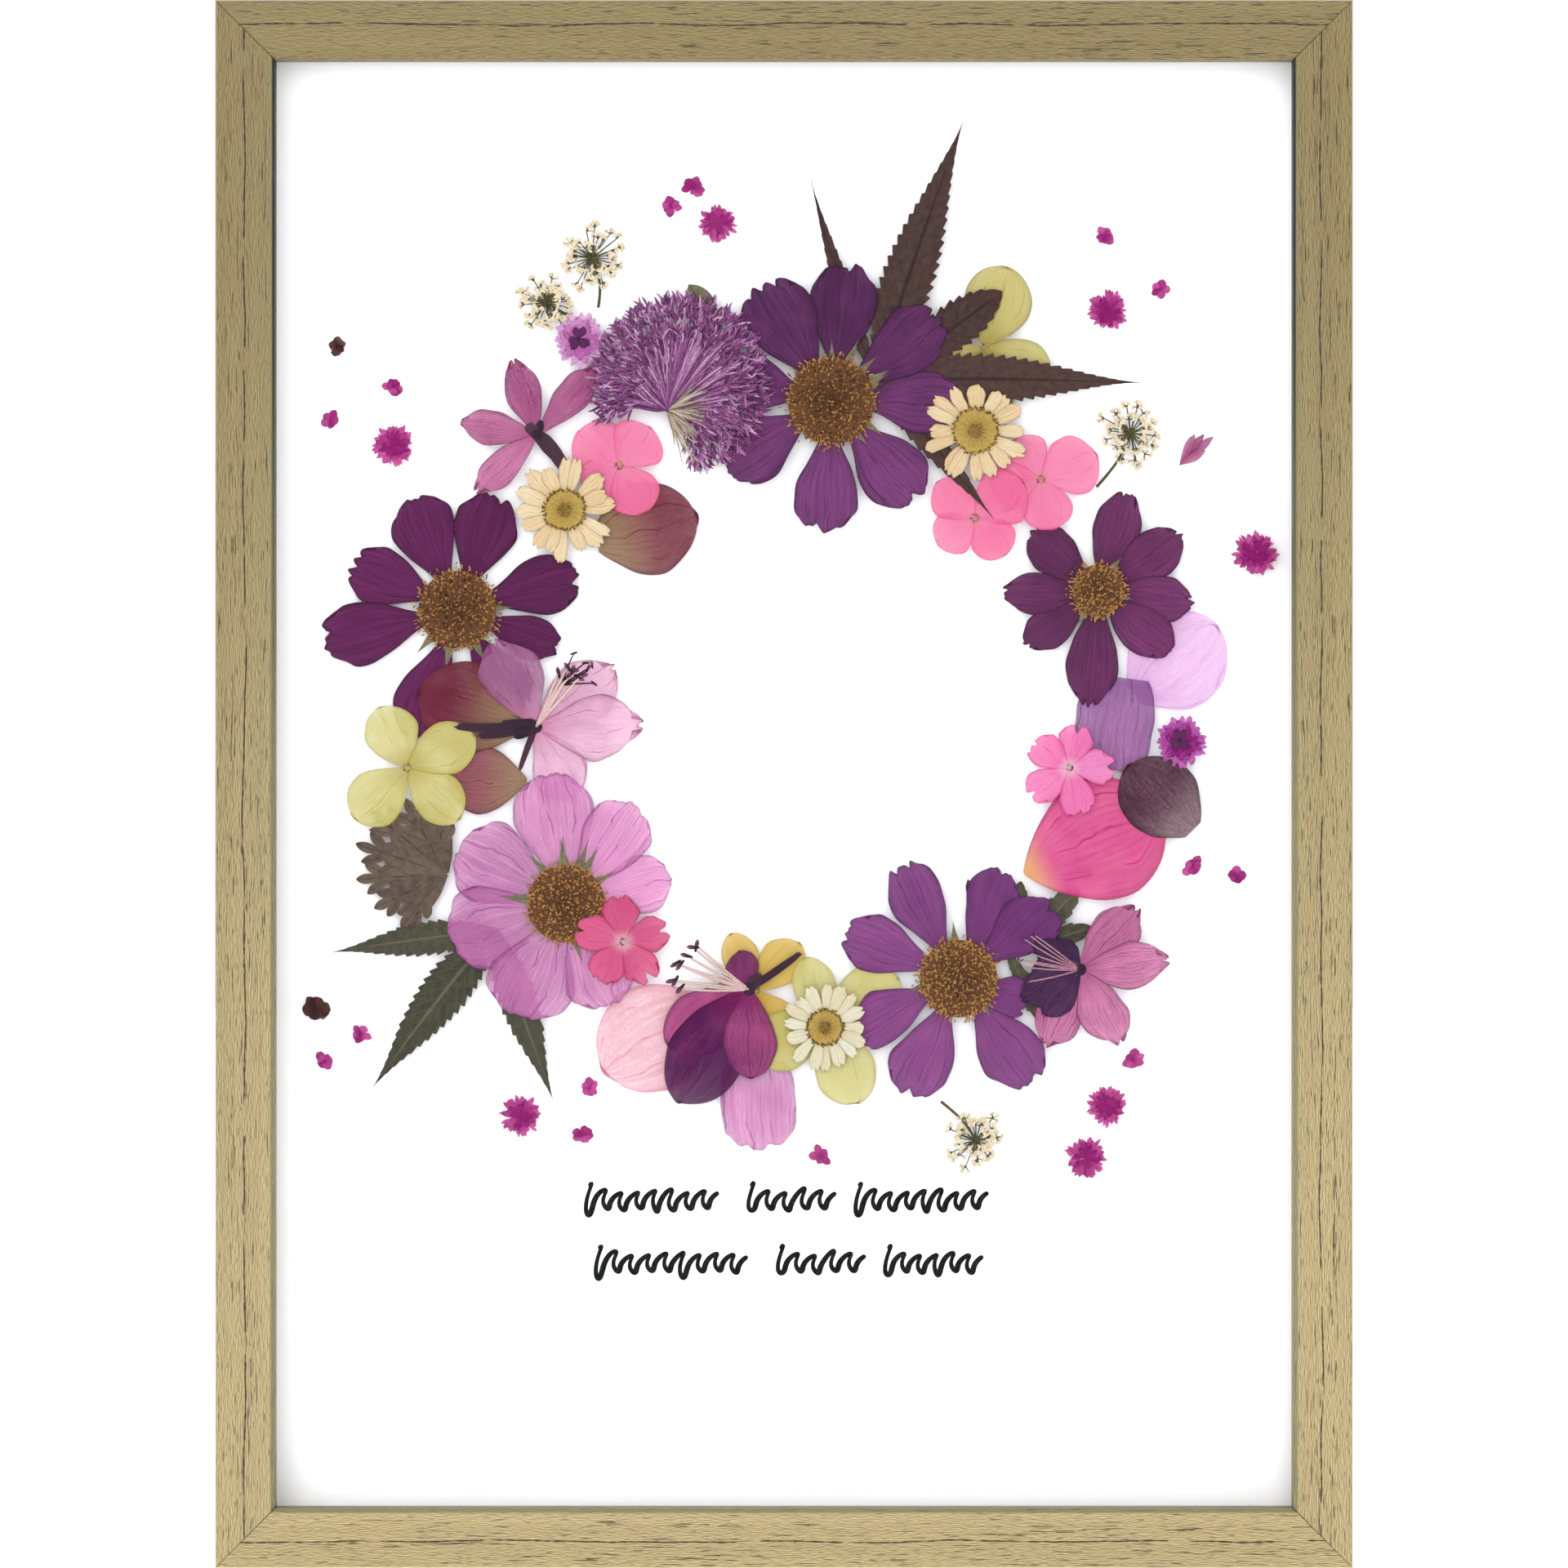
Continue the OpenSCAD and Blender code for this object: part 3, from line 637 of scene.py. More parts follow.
def cosmos(node, petals, disc_radius, material, slot, pale_side, seed, brightness, bracts, shape):
    """Ray petals round a spiky disc. Each petal is (turn, reach, width) and each bract (turn, reach)."""
    place = place_of(node)
    rays = Tissue(seed)
    start = 3.5
    for i, (turn, reach, width) in enumerate(petals):
        lightness = 0.5 + 0.35 * math.cos(math.radians(turn - pale_side)) + rays.normal(0, 0.1)
        teeth = shape["teeth"] + (0, -1, 1)[i % 3] * (shape is COSMOS_RAY)
        rays.petal(
            polar(place.centre, turn, start), turn, reach - start, width, dict(shape, teeth=teeth),
            place.back - 0.025 * i, float(np.clip(lightness, 0.02, 0.98)), fine=(36, 29),
            bend=rays.uniform(-0.04, 0.04),
        )
    rays.build(node + "_rays", material, slot, node)
    green = Tissue(seed + 1)
    for turn, reach in bracts:
        green.petal(
            place.centre, turn + green.normal(0, 3), reach, 2.6, LANCE_LOBE, place.back - 0.22,
            green.rand(), fine=(14, 7), thick=0.04, bend=green.normal(0, 0.08),
        )
    green.build(node + "_bracts", "bract", "dark_leaf")
    seed_disc(node + "_disc", place.centre, disc_radius, place.back - 0.25, seed + 2, brightness)


def all_cosmos():
    cosmos("cosmos_top", (
        (-93, 26.7, 13.5), (-50, 26.5, 14), (0, 26, 13), (37, 28, 13.5), (83, 28, 14), (122, 27.7, 15.5),
        (167, 22, 11), (212, 25.7, 13)), 9.3, "deep_violet", "purple_petal", -80, 10, 0.48,
        ((62, 14), (48, 13.5), (30, 14), (18, 13), (86, 12.5), (-30, 13), (-48, 12)), COSMOS_RAY)
    cosmos("cosmos_left", (
        (70, 24.6, 13.4), (113, 24.6, 13), (155, 23.5, 12), (195, 28, 13), (251, 27.7, 12), (300, 24, 11),
        (16, 25.5, 12.5), (339, 22, 9)), 8.3, "deep_plum", "purple_petal", 200, 13, 0.52,
        ((222, 12.5), (262, 13), (300, 12.5), (5, 11.5)), COSMOS_RAY)
    cosmos("cosmos_right", (
        (73, 21, 10), (32, 20.6, 10), (-6, 19.6, 9.5), (-42, 19.5, 10), (-94, 23.6, 10.5), (217, 18.5, 8.5),
        (183, 19.3, 8.5), (140, 18.3, 9.5)), 5.6, "plum", "purple_petal", -20, 16, 0.74,
        ((62, 8.5), (240, 8), (345, 7.5)), NARROW_RAY)
    cosmos("cosmos_bottom_right", (
        (118, 26, 11.5), (66, 24, 11), (-20, 15, 9), (-56, 26, 13), (247, 26, 13), (206, 24, 11),
        (157, 25, 12), (38, 24.5, 12)), 8.3, "violet", "violet_petal", 230, 19, 0.74,
        ((92, 12), (190, 11), (320, 10.5)), COSMOS_RAY)
    cosmos("cosmos_bottom_left", (
        (98, 26.7, 16.5), (151, 24.7, 17), (196, 24.7, 17.5), (247, 25, 18), (295, 22.6, 15), (13, 22, 12),
        (53, 24.5, 14)), 8.3, "lilac", "lilac_petal", 20, 22, 0.66,
        ((58, 13.5), (72, 14), (84, 13), (97, 13.5), (112, 12.5), (38, 12), (172, 14), (285, 12.5)), WIDE_RAY)


def daisy(node, disc_share, material, seed):
    """Sixteen rays round a ridged button with a dark rim."""
    place = place_of(node)
    rays = Tissue(seed)
    count = 16
    button = disc_share * place.radius
    for i in range(count):
        turn = 360 * i / count + rays.normal(0, 4)
        length = place.radius * rays.uniform(0.92, 1.12) - 0.75 * button
        rays.petal(
            polar(place.centre, turn, 0.75 * button), turn, length, place.radius * rays.uniform(0.25, 0.37),
            DAISY_RAY, place.back - 0.03 - 0.05 * (i % 2), rays.rand(), fine=(18, 13), thick=0.04,
            bend=rays.uniform(-0.06, 0.06),
        )
    rays.build(node + "_rays", material, "cream_petal", node)
    middle = Tissue(seed + 1)
    middle.dome(place.centre, button, 0.3, place.back - 0.1, 0.55, ridges=count, ridge=0.09)
    rim, core = 130, 60
    for i in range(rim):
        turn = 360 * i / rim + middle.normal(0, 2)
        at = polar(place.centre, turn, button * middle.uniform(0.88, 1.04))
        middle.grain(
            at, turn + middle.normal(0, 60), 0.5, 0.15, place.back - 0.22, middle.uniform(0.0, 0.3)
        )
    for i in range(core):
        at = polar(place.centre, GOLDEN_ANGLE * i, button * 0.32 * math.sqrt(i / core))
        middle.grain(at, GOLDEN_ANGLE * i, 0.4, 0.12, place.back - 0.42, middle.uniform(0, 0.35))
    middle.build(node + "_button", "daisy_gold", "seed_head")


def eye(node, place, count, reach, aside, radius, depth, material, seed):
    """A small ring of grains in the middle of a floret, each lying this far aside from straight out."""
    ring = Tissue(seed)
    for i in range(count):
        turn = 360 // count * i
        at = polar(place.centre, turn, reach)
        ring.grain(at, turn + aside, 0.5, radius, place.back - depth, ring.rand())
    ring.build(node + "_eye", material, "seed_head")


def four_petals(node, petals, material, slot, seed):
    """A hydrangea floret: each petal is a (turn, share of the radius, share of the width) triple."""
    place = place_of(node)
    floret = Tissue(seed)
    for i, (turn, reach, breadth) in enumerate(petals):
        length = reach * place.radius
        floret.petal(
            polar(place.centre, turn, 0.02 * length), turn, length, breadth * place.radius, ROUND_PETAL,
            place.back - 0.03 - 0.05 * (i % 3), floret.rand(), fine=(26, 17),
            bend=floret.uniform(-0.04, 0.04), thick=0.04,
        )
    floret.build(node + "_petals", material, slot, node)
    eye(node, place, 10, 0.5, 0, 0.16, 0.2, "daisy_gold", seed + 1)


def all_hydrangeas():
    for seed, (name, material, *petals) in zip(range(30, 44, 2), (
        ("pink_left", "candy_pink", (140, 1.25, 1.35), (50, 1.15, 1.35), (-62, 1.25, 1.25), (215, 1, 1.1)),
        ("pink_right", "candy_pink", (125, 0.95, 1), (26, 1.2, 1.25), (-78, 1, 1.05), (190, 1, 1)),
        ("pink_inner", "candy_pink", (-50, 1, 1), (215, 0.95, 0.95), (138, 1.08, 1), (36, 1.25, 1.25)),
        ("yellow_left", "straw", (114, 1.02, 0.86), (28, 1.14, 0.84), (225, 1.12, 0.9), (-42, 1.12, 0.82)),
        ("olive_top", "olive", (73, 1.08, 0.92), (197, 0.95, 0.5), (340, 0.9, 0.6), (275, 1, 0.7)),
        ("yellow_bottom", "straw_gold", (115, 1.2, 0.72), (48, 1.25, 0.9), (-62, 1.2, 1), (190, 0.9, 0.6)),
        ("green_bottom", "straw", (31, 1.15, 0.92), (-66, 1.12, 0.86), (200, 1.02, 0.85), (108, 0.95, 0.6)),
    )):
        slot = "pink_petal" if material == "candy_pink" else "yellow_petal"
        four_petals("hydrangea_" + name, petals, material, slot, seed)


def verbena(node, first_turn, material, seed):
    place = place_of(node)
    floret = Tissue(seed)
    for i in range(5):
        turn = first_turn + 72 * i + floret.normal(0, 4)
        floret.petal(
            place.centre, turn, place.radius * floret.uniform(1.02, 1.16), 0.86 * place.radius,
            NOTCHED_PETAL, place.back - 0.03 - 0.05 * (i % 3), floret.rand(), fine=(24, 17), thick=0.04,
        )
    floret.build(node + "_petals", material, "rose_petal", node)
    eye(node, place, 12, 0.55, 90, 0.15, 0.22, "pale_stamen", seed + 1)


def stamens(tissue, base, turns, reach, depth, tone, radius, bend, anther):
    """Fine stalks fanning from one point, each with a dark anther this long across its end."""
    points = 9
    for turn in turns:
        length = reach * tissue.uniform(0.8, 1.05)
        sway = bend * tissue.uniform(-1, 1)
        steps = np.linspace(0, 1, points)
        swing = math.radians(turn) + sway * steps
        stalk = walk(base, length * steps, swing, depth - 0.03 * tissue.rand())
        tissue.thread(stalk, radius * np.linspace(1.0, 0.6, points), tone)
        lie = turn + tissue.uniform(-80, 80)
        end = polar((stalk[-1][0], stalk[-1][2]), lie + 180, anther / 2)
        tissue.grain(end, lie, anther, 0.16 * anther, depth - 0.05, 0.0)


def spray(node, at, petals, material, slot, seed, calyx, shape=SPOON_PETAL):
    """Petals from one base, each (turn, length, width, tone), and dark calyx lobes. Returns the base."""
    place = place_of(node)
    base = place.spot(*at)
    flower = Tissue(seed)
    for i, (turn, length, width, tone) in enumerate(petals):
        flower.petal(
            base, turn, length, width, shape, place.back - 0.03 - 0.06 * (i % 3), tone, fine=(30, 21),
            bend=flower.uniform(-0.08, 0.08),
        )
    flower.build(node + "_petals", material, slot, node)
    dark = Tissue(seed + 1)
    for turn, length, width in calyx:
        dark.petal(
            base, turn, length, width, BAR_LOBE, place.back - 0.2, dark.rand(), fine=(14, 7),
            bend=dark.uniform(-0.12, 0.12), thick=0.1,
        )
    dark.dome(base, 1.3, 0.25, place.back - 0.15, 0.3, rings=5, spokes=20)
    dark.build(node + "_calyx", "calyx", "dark_leaf")
    return base


def tassel(node, seed, *groups):
    """The stamens of a spray; each group is (base, turns, reach, tone, radius, bend, anther)."""
    bunch = Tissue(seed)
    depth = place_of(node).back - 0.25
    for base, turns, reach, *looks in groups:
        stamens(bunch, base, turns, reach, depth, *looks)
    bunch.build(node + "_stamens", "pale_stamen", "seed_head")


def all_sprays():
    spray(
        "fireweed_top_left", (0.57, 0.43),
        ((108, 16, 7.6, 0.1), (172, 16, 7, 0.5), (222, 17, 7, 0.7), (47, 18, 7, 0.2)),
        "mauve_pink", "rose_petal", 50, ((-44, 10, 3.2), (135, 3, 2.4), (70, 3, 1.6)),
    )
    base = spray(
        "fireweed_left", (0.42, 0.46),
        ((113, 19.5, 12.5, 0.0), (36, 20, 13, 0.75), (-3, 21.5, 13, 0.9), (-62, 17, 11, 0.8)),
        "lilac_pink", "lilac_petal", 53,
        ((182, 16.5, 1.9), (194, 12, 1.7), (184, 7, 3.6), (245, 9.5, 1.3), (205, 5, 2.4)),
    )
    tassel("fireweed_left", 56, (base, (50, 55, 58, 61, 64, 47, 67), 13.5, 0.9, 0.42, 0.08, 2.4),
           (polar(base, 58, 10), (18, 8, 34, 55, 78), 7, 0.0, 0.2, 0.3, 1.6))
    base = spray(
        "fireweed_right", (0.36, 0.55),
        ((48, 17, 10, 0.6), (2, 18, 10, 0.9), (-62, 17, 10, 0.9), (-118, 17, 10, 0.7), (150, 7, 5, 0.0)),
        "mauve_pink", "rose_petal", 58, ((160, 3, 2.4), (200, 3, 2.4)),
    )
    sepals = Tissue(62)
    lobes = ((128, 8, 5), (150, 11, 6), (180, 10, 6), (207, 13.5, 8), (231, 12, 7.5))
    for i, (turn, length, width) in enumerate(lobes):
        depth = place_of("fireweed_right").back - 0.16 - 0.02 * i
        sepals.petal(base, turn, length, width, SPOON_PETAL, depth, 0.1 * i, fine=(20, 13))
    sepals.build("fireweed_right_sepals", "dark_sepal", "purple_petal")
    tassel("fireweed_right", 61, (base, (150, 158, 164, 171, 177, 183, 140, 198), 12.5, 0.62, 0.2, 0.12, 1.0))
    base = spray(
        "magenta_flower", (0.66, 0.8),
        ((214, 20, 13, 1.0), (237, 27, 16, 0.0), (270, 18, 11, 0.6), (110, 8, 7, 0.2)),
        "purple_pink", "rose_petal", 63, ((34, 13, 1.6), (60, 4, 2.4)), ROUND_PETAL,
    )
    tassel("magenta_flower", 66, (base, (148, 155, 161, 167, 173, 180, 142, 185), 17, 0.9, 0.32, 0.12, 2.6))
    place, sprig = place_of("tube_sprig"), Tissue(68)
    for i, turn in enumerate((40, 52, 64, 30)):
        sprig.petal(
            place.spot(0.1, 0.1), turn, 9 - i, 1.8, SPOON_PETAL, place.back - 0.05 * i, sprig.rand(),
            fine=(14, 7),
        )
    sprig.build("tube_sprig_petals", "mauve_pink", "violet_petal", "tube_sprig")


def curl(tissue, start, heading, length, depth, radii, tone):
    """A thread that follows a list of headings, in radians."""
    step = length / len(heading)
    x, z = (start[k] + np.cumsum(part) * step for k, part in enumerate((np.cos(heading), np.sin(heading))))
    tissue.thread(path(x, depth, z), radii, tone)


def thread_flower():
    """A head of fine lilac threads over crowded narrow florets, fanning out from below its middle."""
    place = place_of("thread_flower")
    base = place.spot(0.47, 0.27)
    head = Tissue(70)
    radius = 17.0
    facing = 62
    centre = polar(base, facing, 6.0)
    florets, threads, tips = 90, 330, 1500
    for i in range(florets):
        angle = facing + 270 * (i / (florets - 1) - 0.5) + head.normal(0, 5)
        goal = polar(centre, angle, radius * head.uniform(0.6, 0.95))
        lean = math.degrees(math.atan2(goal[1] - base[1], goal[0] - base[0]))
        head.petal(
            base, lean, math.dist(base, goal), head.uniform(1.6, 2.6), LANCE_LOBE, place.back - 0.04,
            head.uniform(0.0, 0.4), fine=(14, 5), thick=0.03, bend=head.normal(0, 0.06),
        )
    for _ in range(threads):
        angle = facing + head.uniform(-138, 138)
        goal = polar(centre, angle, radius * head.uniform(0.4, 0.85))
        steps = np.linspace(0, 1, 8)
        sway = head.normal(0, 0.7) * np.sin(math.pi * steps)
        run = straight(base, goal, steps, place.back - 0.08 - 0.15 * head.rand(), sway)
        head.thread(run, np.linspace(0.1, 0.19, 8), head.beta(1.2, 1.6))
    for _ in range(tips):
        angle = facing + head.uniform(-145, 145)
        share = 0.35 + 0.62 * math.sqrt(head.rand())
        start = polar(centre, angle, radius * share)
        outwards = math.radians(angle + head.normal(0, 24))
        heading = outwards + head.uniform(-0.9, 0.9) * np.linspace(0, 1, 6)
        length = head.uniform(1.8, 3.6)
        depth = place.back - 0.12 - 0.28 * head.rand()
        curl(head, start, heading, length, depth, (0.1, 0.2, 0.25, 0.24, 0.17, 0.05), head.beta(1.4, 2.2))
    head.build("thread_flower_head", "lilac_thread", "violet_petal", "thread_flower")
    foot = Tissue(71)
    for _ in range(120):
        turn = foot.uniform(-78, 40)
        length = foot.uniform(3, 9 if turn > -50 else 13)
        heading = np.radians(turn + foot.normal(0, 14) * np.linspace(0, 1, 7))
        depth = place.back - 0.42 - 0.1 * foot.rand()
        curl(foot, base, heading, length, depth, np.linspace(0.16, 0.07, 7), foot.beta(1.3, 1.5))
    foot.build("thread_flower_foot", "pale_fibre", "violet_petal")


def fluff(tissue, place, count, spread):
    """A pressed ball of tiny narrow petals with a darker middle."""
    for i in range(count):
        share = math.sqrt((i + 0.5) / count)
        turn = GOLDEN_ANGLE * i + tissue.normal(0, 12)
        start = polar(place.centre, turn, (0.72 * share - 0.2) * place.radius)
        tissue.petal(
            start, turn + tissue.normal(0, 30), spread * place.radius * tissue.uniform(0.3, 0.55),
            place.radius * tissue.uniform(0.16, 0.3), SPOON_PETAL, place.back - 0.3 * (1.1 - share),
            unit(1.7 * share - 0.65 + tissue.normal(0, 0.2)), fine=(7, 5), thick=0.03,
        )


def pompons():
    """Two fluffy balls, the left one paler, each with a dark crumpled star in it."""
    nodes = ["pompons"]
    materials = ("pale_magenta", "magenta_lilac")
    for name, place, material in zip(("left", "right"), islands("pompons"), materials):
        ball = Tissue(80)
        fluff(ball, place, 190, 1.25)
        ball.build("pompon_%s_petals" % name, material, "violet_petal", *nodes)
        nodes = []
        star = Tissue(79)
        for i in range(6):
            star.petal(
                polar(place.centre, 150, 0.1 * place.radius), 60 * i + star.normal(0, 9),
                place.radius * star.uniform(0.4, 0.62), 0.3 * place.radius, SPOON_PETAL,
                place.back - 0.34 - 0.02 * i, 0.3, fine=(9, 7), thick=0.03,
            )
        star.build("pompon_%s_star" % name, "deep_violet", "purple_petal")


def scattered_florets():
    """Crumpled florets; the larger ones are fluffy balls. Two by the left edge have dried brown."""
    pink, brown = Tissue(81), Tissue(84)
    brown_ones = (0, 3)
    large = 2.6
    for number, place in enumerate(islands("scattered_florets")):
        bits = brown if number in brown_ones else pink
        if place.radius > large and bits is pink:
            fluff(bits, place, 150, 1.6)
            continue
        first = 360 * bits.rand()
        size = 1.35 * min(place.radius, large)
        for i in range(9):
            bits.petal(
                place.centre, first + 77 * i + bits.normal(0, 12), size * bits.uniform(0.55, 1.1),
                size * bits.uniform(0.6, 0.9), SPOON_PETAL, place.back - 0.05 * (i % 4),
                bits.uniform(0.0, 0.7), fine=(12, 9), thick=0.03,
            )
    pink.build("floret_bits", "magenta", "rose_petal", "scattered_florets")
    brown.build("brown_floret_bits", "dry_brown", "rose_petal")


def stalk(tissue, start, end, depth, radii, tones):
    """A short straight thread in two lengths."""
    run = straight(start, end, np.linspace(0, 1, 3), depth)
    tissue.thread(run, radii, tissue.uniform(*tones))


def lace_umbels():
    """Flat heads of thin rays, each ending in a little star of cream florets."""
    stems, florets = Tissue(82), Tissue(83)
    # from left to right, where each head and stalk end lies in its own box
    lies = (
        ((0.42, 0.6), (0.98, 0.02)), ((0.5, 0.6), (0.6, 0)), ((0.62, 0.36), (0, 1)), ((0.52, 0.62), (0, 0))
    )
    for place, (head, foot) in zip(islands("lace_umbels"), lies):
        centre, root = place.spot(*head), place.spot(*foot)
        depth = place.back - 0.08
        steps = np.linspace(0, 1, 12)
        stem = straight(centre, root, steps, depth, 0.9 * np.sin(math.pi * steps))
        stems.thread(stem, np.linspace(0.24, 0.3, 12), 0.35)
        reach = 0.5 * (place.high[0] - place.low[0])
        for i in range(34):
            turn = GOLDEN_ANGLE * i + stems.normal(0, 4)
            end = polar(centre, turn, reach * stems.uniform(0.25, 1.0))
            stalk(stems, centre, end, depth, (0.17, 0.12, 0.11), (0.1, 0.6))
            for _ in range(5):
                lean = turn + stems.normal(0, 50)
                tip = polar(end, lean, stems.uniform(0.5, 1.15))
                stalk(stems, end, tip, depth, (0.13, 0.1, 0.08), (0.1, 0.7))
                for petal_turn in (lean - 70, lean, lean + 70):
                    florets.petal(
                        tip, petal_turn, 0.54, 0.44, ROUND_PETAL, depth - 0.12, florets.rand(),
                        fine=(5, 4), thick=0.03,
                    )
    stems.build("umbel_stems", "stem", "dark_leaf", "lace_umbels")
    florets.build("umbel_florets", "cream_floret", "seed_head")


# ---- Loose petals and leaves ------------------------------------------------------


def sheets(name, material, slot, node, seed, *petals):
    """Petals laid along the middle of their places: (place, turn, length, width, shape, tone, lift)."""
    made = Tissue(seed)
    for place, turn, length, width, shape, tone, lift in petals:
        start = polar(place.centre, turn + 180, length / 2)
        made.petal(start, turn, length, width, shape, place.back - lift, tone, fine=(34, 23))
    made.build(name, material, slot, *node)


def loose_petals():
    rose, mauve = place_of("rose_petal"), place_of("mauve_petal")
    lilac, pale = islands("pale_petals")
    pink, lower = islands("bottom_petals")
    left, dusky, top = islands("burgundy_petals")
    light, red = "lilac_petal", "burgundy_petal"
    for seed, (name, material, slot, nodes, *petals) in enumerate((
        ("rose_petal", "rose", "rose_petal", ["rose_petal"], (rose, 24, 30, 26, ROSE_PETAL, 0.35, 0.05)),
        ("mauve_petal", "mauve", red, ["mauve_petal"], (mauve, 135, 18.5, 16.5, BROAD_PETAL, 0.3, 0.05)),
        ("pale_petal", "pale_lilac", light, ["pale_petals"], (pale, 40, 22, 20.5, BROAD_PETAL, 0.8, 0.05)),
        ("lilac_petal", "lilac_grey", light, [], (lilac, 262, 19, 16, SQUARE_PETAL, 0.5, 0.05)),
        ("pink_petal", "pale_pink", light, ["bottom_petals"], (pink, 215, 25, 22, BROAD_PETAL, 0.6, 0.05)),
        ("lower_petal", "lilac", light, [], (lower, 272, 18.5, 15.5, TOOTHED_PETAL, 0.5, 0.05)),
    ), 90):
        sheets(name + "_sheet", material, slot, nodes, seed, *petals)
    sheets("burgundy_petal_sheets", "burgundy", red, ["burgundy_petals"], 96,
           (left, 164, 22, 19, BROAD_PETAL, 0.2, 0.05), (dusky, 178, 16, 14, ROUND_PETAL, 1.0, 0.02),
           (top, 14, 21, 19, BROAD_PETAL, 0.6, 0.05))


def leaf(node, at, lobes, material, seed):
    """Each lobe is (turn, length, width, shape, teeth, bend)."""
    place = place_of(node)
    base = place.spot(*at)
    blade = Tissue(seed)
    for i, (turn, length, width, shape, teeth, bend) in enumerate(lobes):
        blade.petal(
            base, turn, length, width, shape, place.back - 0.03 - 0.05 * (i % 3), blade.rand(),
            fine=(6 * teeth + 24, 17), bend=bend, serrate=(teeth, 0.2), thick=0.07,
        )
    blade.build(node + "_blade", material, "dark_leaf", node)


def lobed_leaf():
    """Seven ribs from one point, each a cut lobe with blunt lobules down both sides."""
    place = place_of("lobed_leaf")
    base = place.spot(0.9, 0.42)
    blade = Tissue(104)
    lobes = ((98, 14), (119, 17), (140, 19.5), (162, 19), (184, 18), (206, 16), (230, 14))
    lobules = ((0.42, 38, 0.34), (0.42, -38, 0.34), (0.68, 0, 0.34), (0.62, 30, 0.33), (0.62, -30, 0.33))
    for i, (turn, length) in enumerate(lobes):
        depth = place.back - 0.03 - 0.02 * (i % 2)
        blade.petal(
            base, turn, 0.75 * length, 4.6, BLUNT_LOBE, depth, blade.rand(), fine=(18, 11), thick=0.06
        )
        for share, lean, reach in lobules:
            at = polar(base, turn, share * length)
            blade.petal(
                at, turn + lean, reach * length, 2.1, BLUNT_LOBE, depth - 0.01, blade.rand(), fine=(12, 7)
            )
    blade.build("lobed_leaf_blade", "grey_leaf", "dark_leaf", "lobed_leaf")


def all_leaves():
    leaf("palmate_leaf", (0.22, 0.35), (
        (73, 56, 11.5, LANCE_LOBE, 24, -0.03), (112, 43, 4, LANCE_LOBE, 16, -0.07),
        (1, 54, 11, LANCE_LOBE, 24, -0.03), (32, 31, 10, BLUNT_LOBE, 14, 0.05),
        (-47, 37, 6.5, LANCE_LOBE, 14, -0.05)), "maroon_leaf", 100)
    leaf("serrated_leaf", (0.74, 0.95), (
        (186, 34, 7.5, LANCE_LOBE, 16, 0.03), (230, 41, 10.5, LANCE_LOBE, 20, 0.04),
        (288, 37, 8.5, LANCE_LOBE, 16, 0.02)), "green_leaf", 102)
    lobed_leaf()
    leaf("leaf_sprig", (0.4, 0.55), (
        (118, 17, 5, BLUNT_LOBE, 7, 0.0), (80, 15, 5, BLUNT_LOBE, 7, 0.0), (40, 20, 6, BLUNT_LOBE, 8, 0.05),
        (18, 18, 5, BLUNT_LOBE, 7, 0.0), (-60, 16, 5, BLUNT_LOBE, 7, 0.0)), "green_leaf", 106)
    sheets("green_bud_leaves", "bract", "dark_leaf", ["green_buds"], 108, *(
        (place, turn, 12, 5.5, BLUNT_LOBE, 0.0, 0.05) for place, turn in zip(islands("green_buds"), (122, 40))
    ))


def pen_flourishes():
    """Two rows of plain wavy pen strokes on the card, with no letters in them."""
    card = place_of("mount_card")
    ink = Tissue(110)
    rows = ((0.214, ((-41, -14), (-8, 10), (14, 41))), (0.171, ((-39, -8), (-2, 16), (20, 40))))
    for share, words in rows:
        _, level = card.spot(0, share)
        for start, end in words:
            steps = np.linspace(0, 1, int(9 * (end - start)))
            phase = TURN * steps * round((end - start) / 3.3)
            first = np.exp(-((steps - 0.04) / 0.06) ** 2)
            later = np.exp(-((steps - 0.6) / 0.05) ** 2)
            z = (1.7 * np.sin(phase + 1.2) + 0.25 * np.sin(0.31 * phase)) * (1 + 1.3 * first + 0.6 * later)
            x = start + (end - start) * steps + 0.32 * z + 0.35 * np.sin(2 * phase + 0.6)
            pressure = 0.5 + 0.1 * np.cos(phase + 1.9)
            pressure[0] = pressure[-1] = 0.2
            ink.thread(path(x, card.low[1] - 0.02, level + z), pressure, 0.5, flat=0.04)
    ink.build("pen_flourishes", "ink", "white_card")


# ---- Carried-over CAD nodes ----------------------------------------------------


def dress(node, material, bevel=0.0, clearance=0.0):
    """Gives a CAD node its material, softens its arrises and draws its faces in by this many mm."""
    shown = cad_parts[node]
    shown.data.materials.clear()
    shown.data.materials.append(material)
    if clearance:
        drawn_in = shown.modifiers.new("clearance", "DISPLACE")
        drawn_in.strength = -clearance * MM
        drawn_in.mid_level = 0.0
    if bevel:
        soft = shown.modifiers.new("arris", "BEVEL")
        soft.width = bevel * MM
        soft.segments = 3
        soft.limit_method = "ANGLE"
        soft.harden_normals = True


def dress_frame():
    for seed, (side, sight) in enumerate((("top", 0.0), ("bottom", 1.0), ("left", 1.0), ("right", 1.0)), 1):
        dress("rail_" + side, oak_material("oak_" + side, side in ("top", "bottom"), seed, sight), 0.15)
    for node in ("front_glass", "rear_glass"):
        dress(node, MATERIALS["glass"], clearance=0.02)
    dress("mount_card", MATERIALS["card"])
    dress("back_board", MATERIALS["board"])
    dress("wall_bumpers", MATERIALS["rubber"])


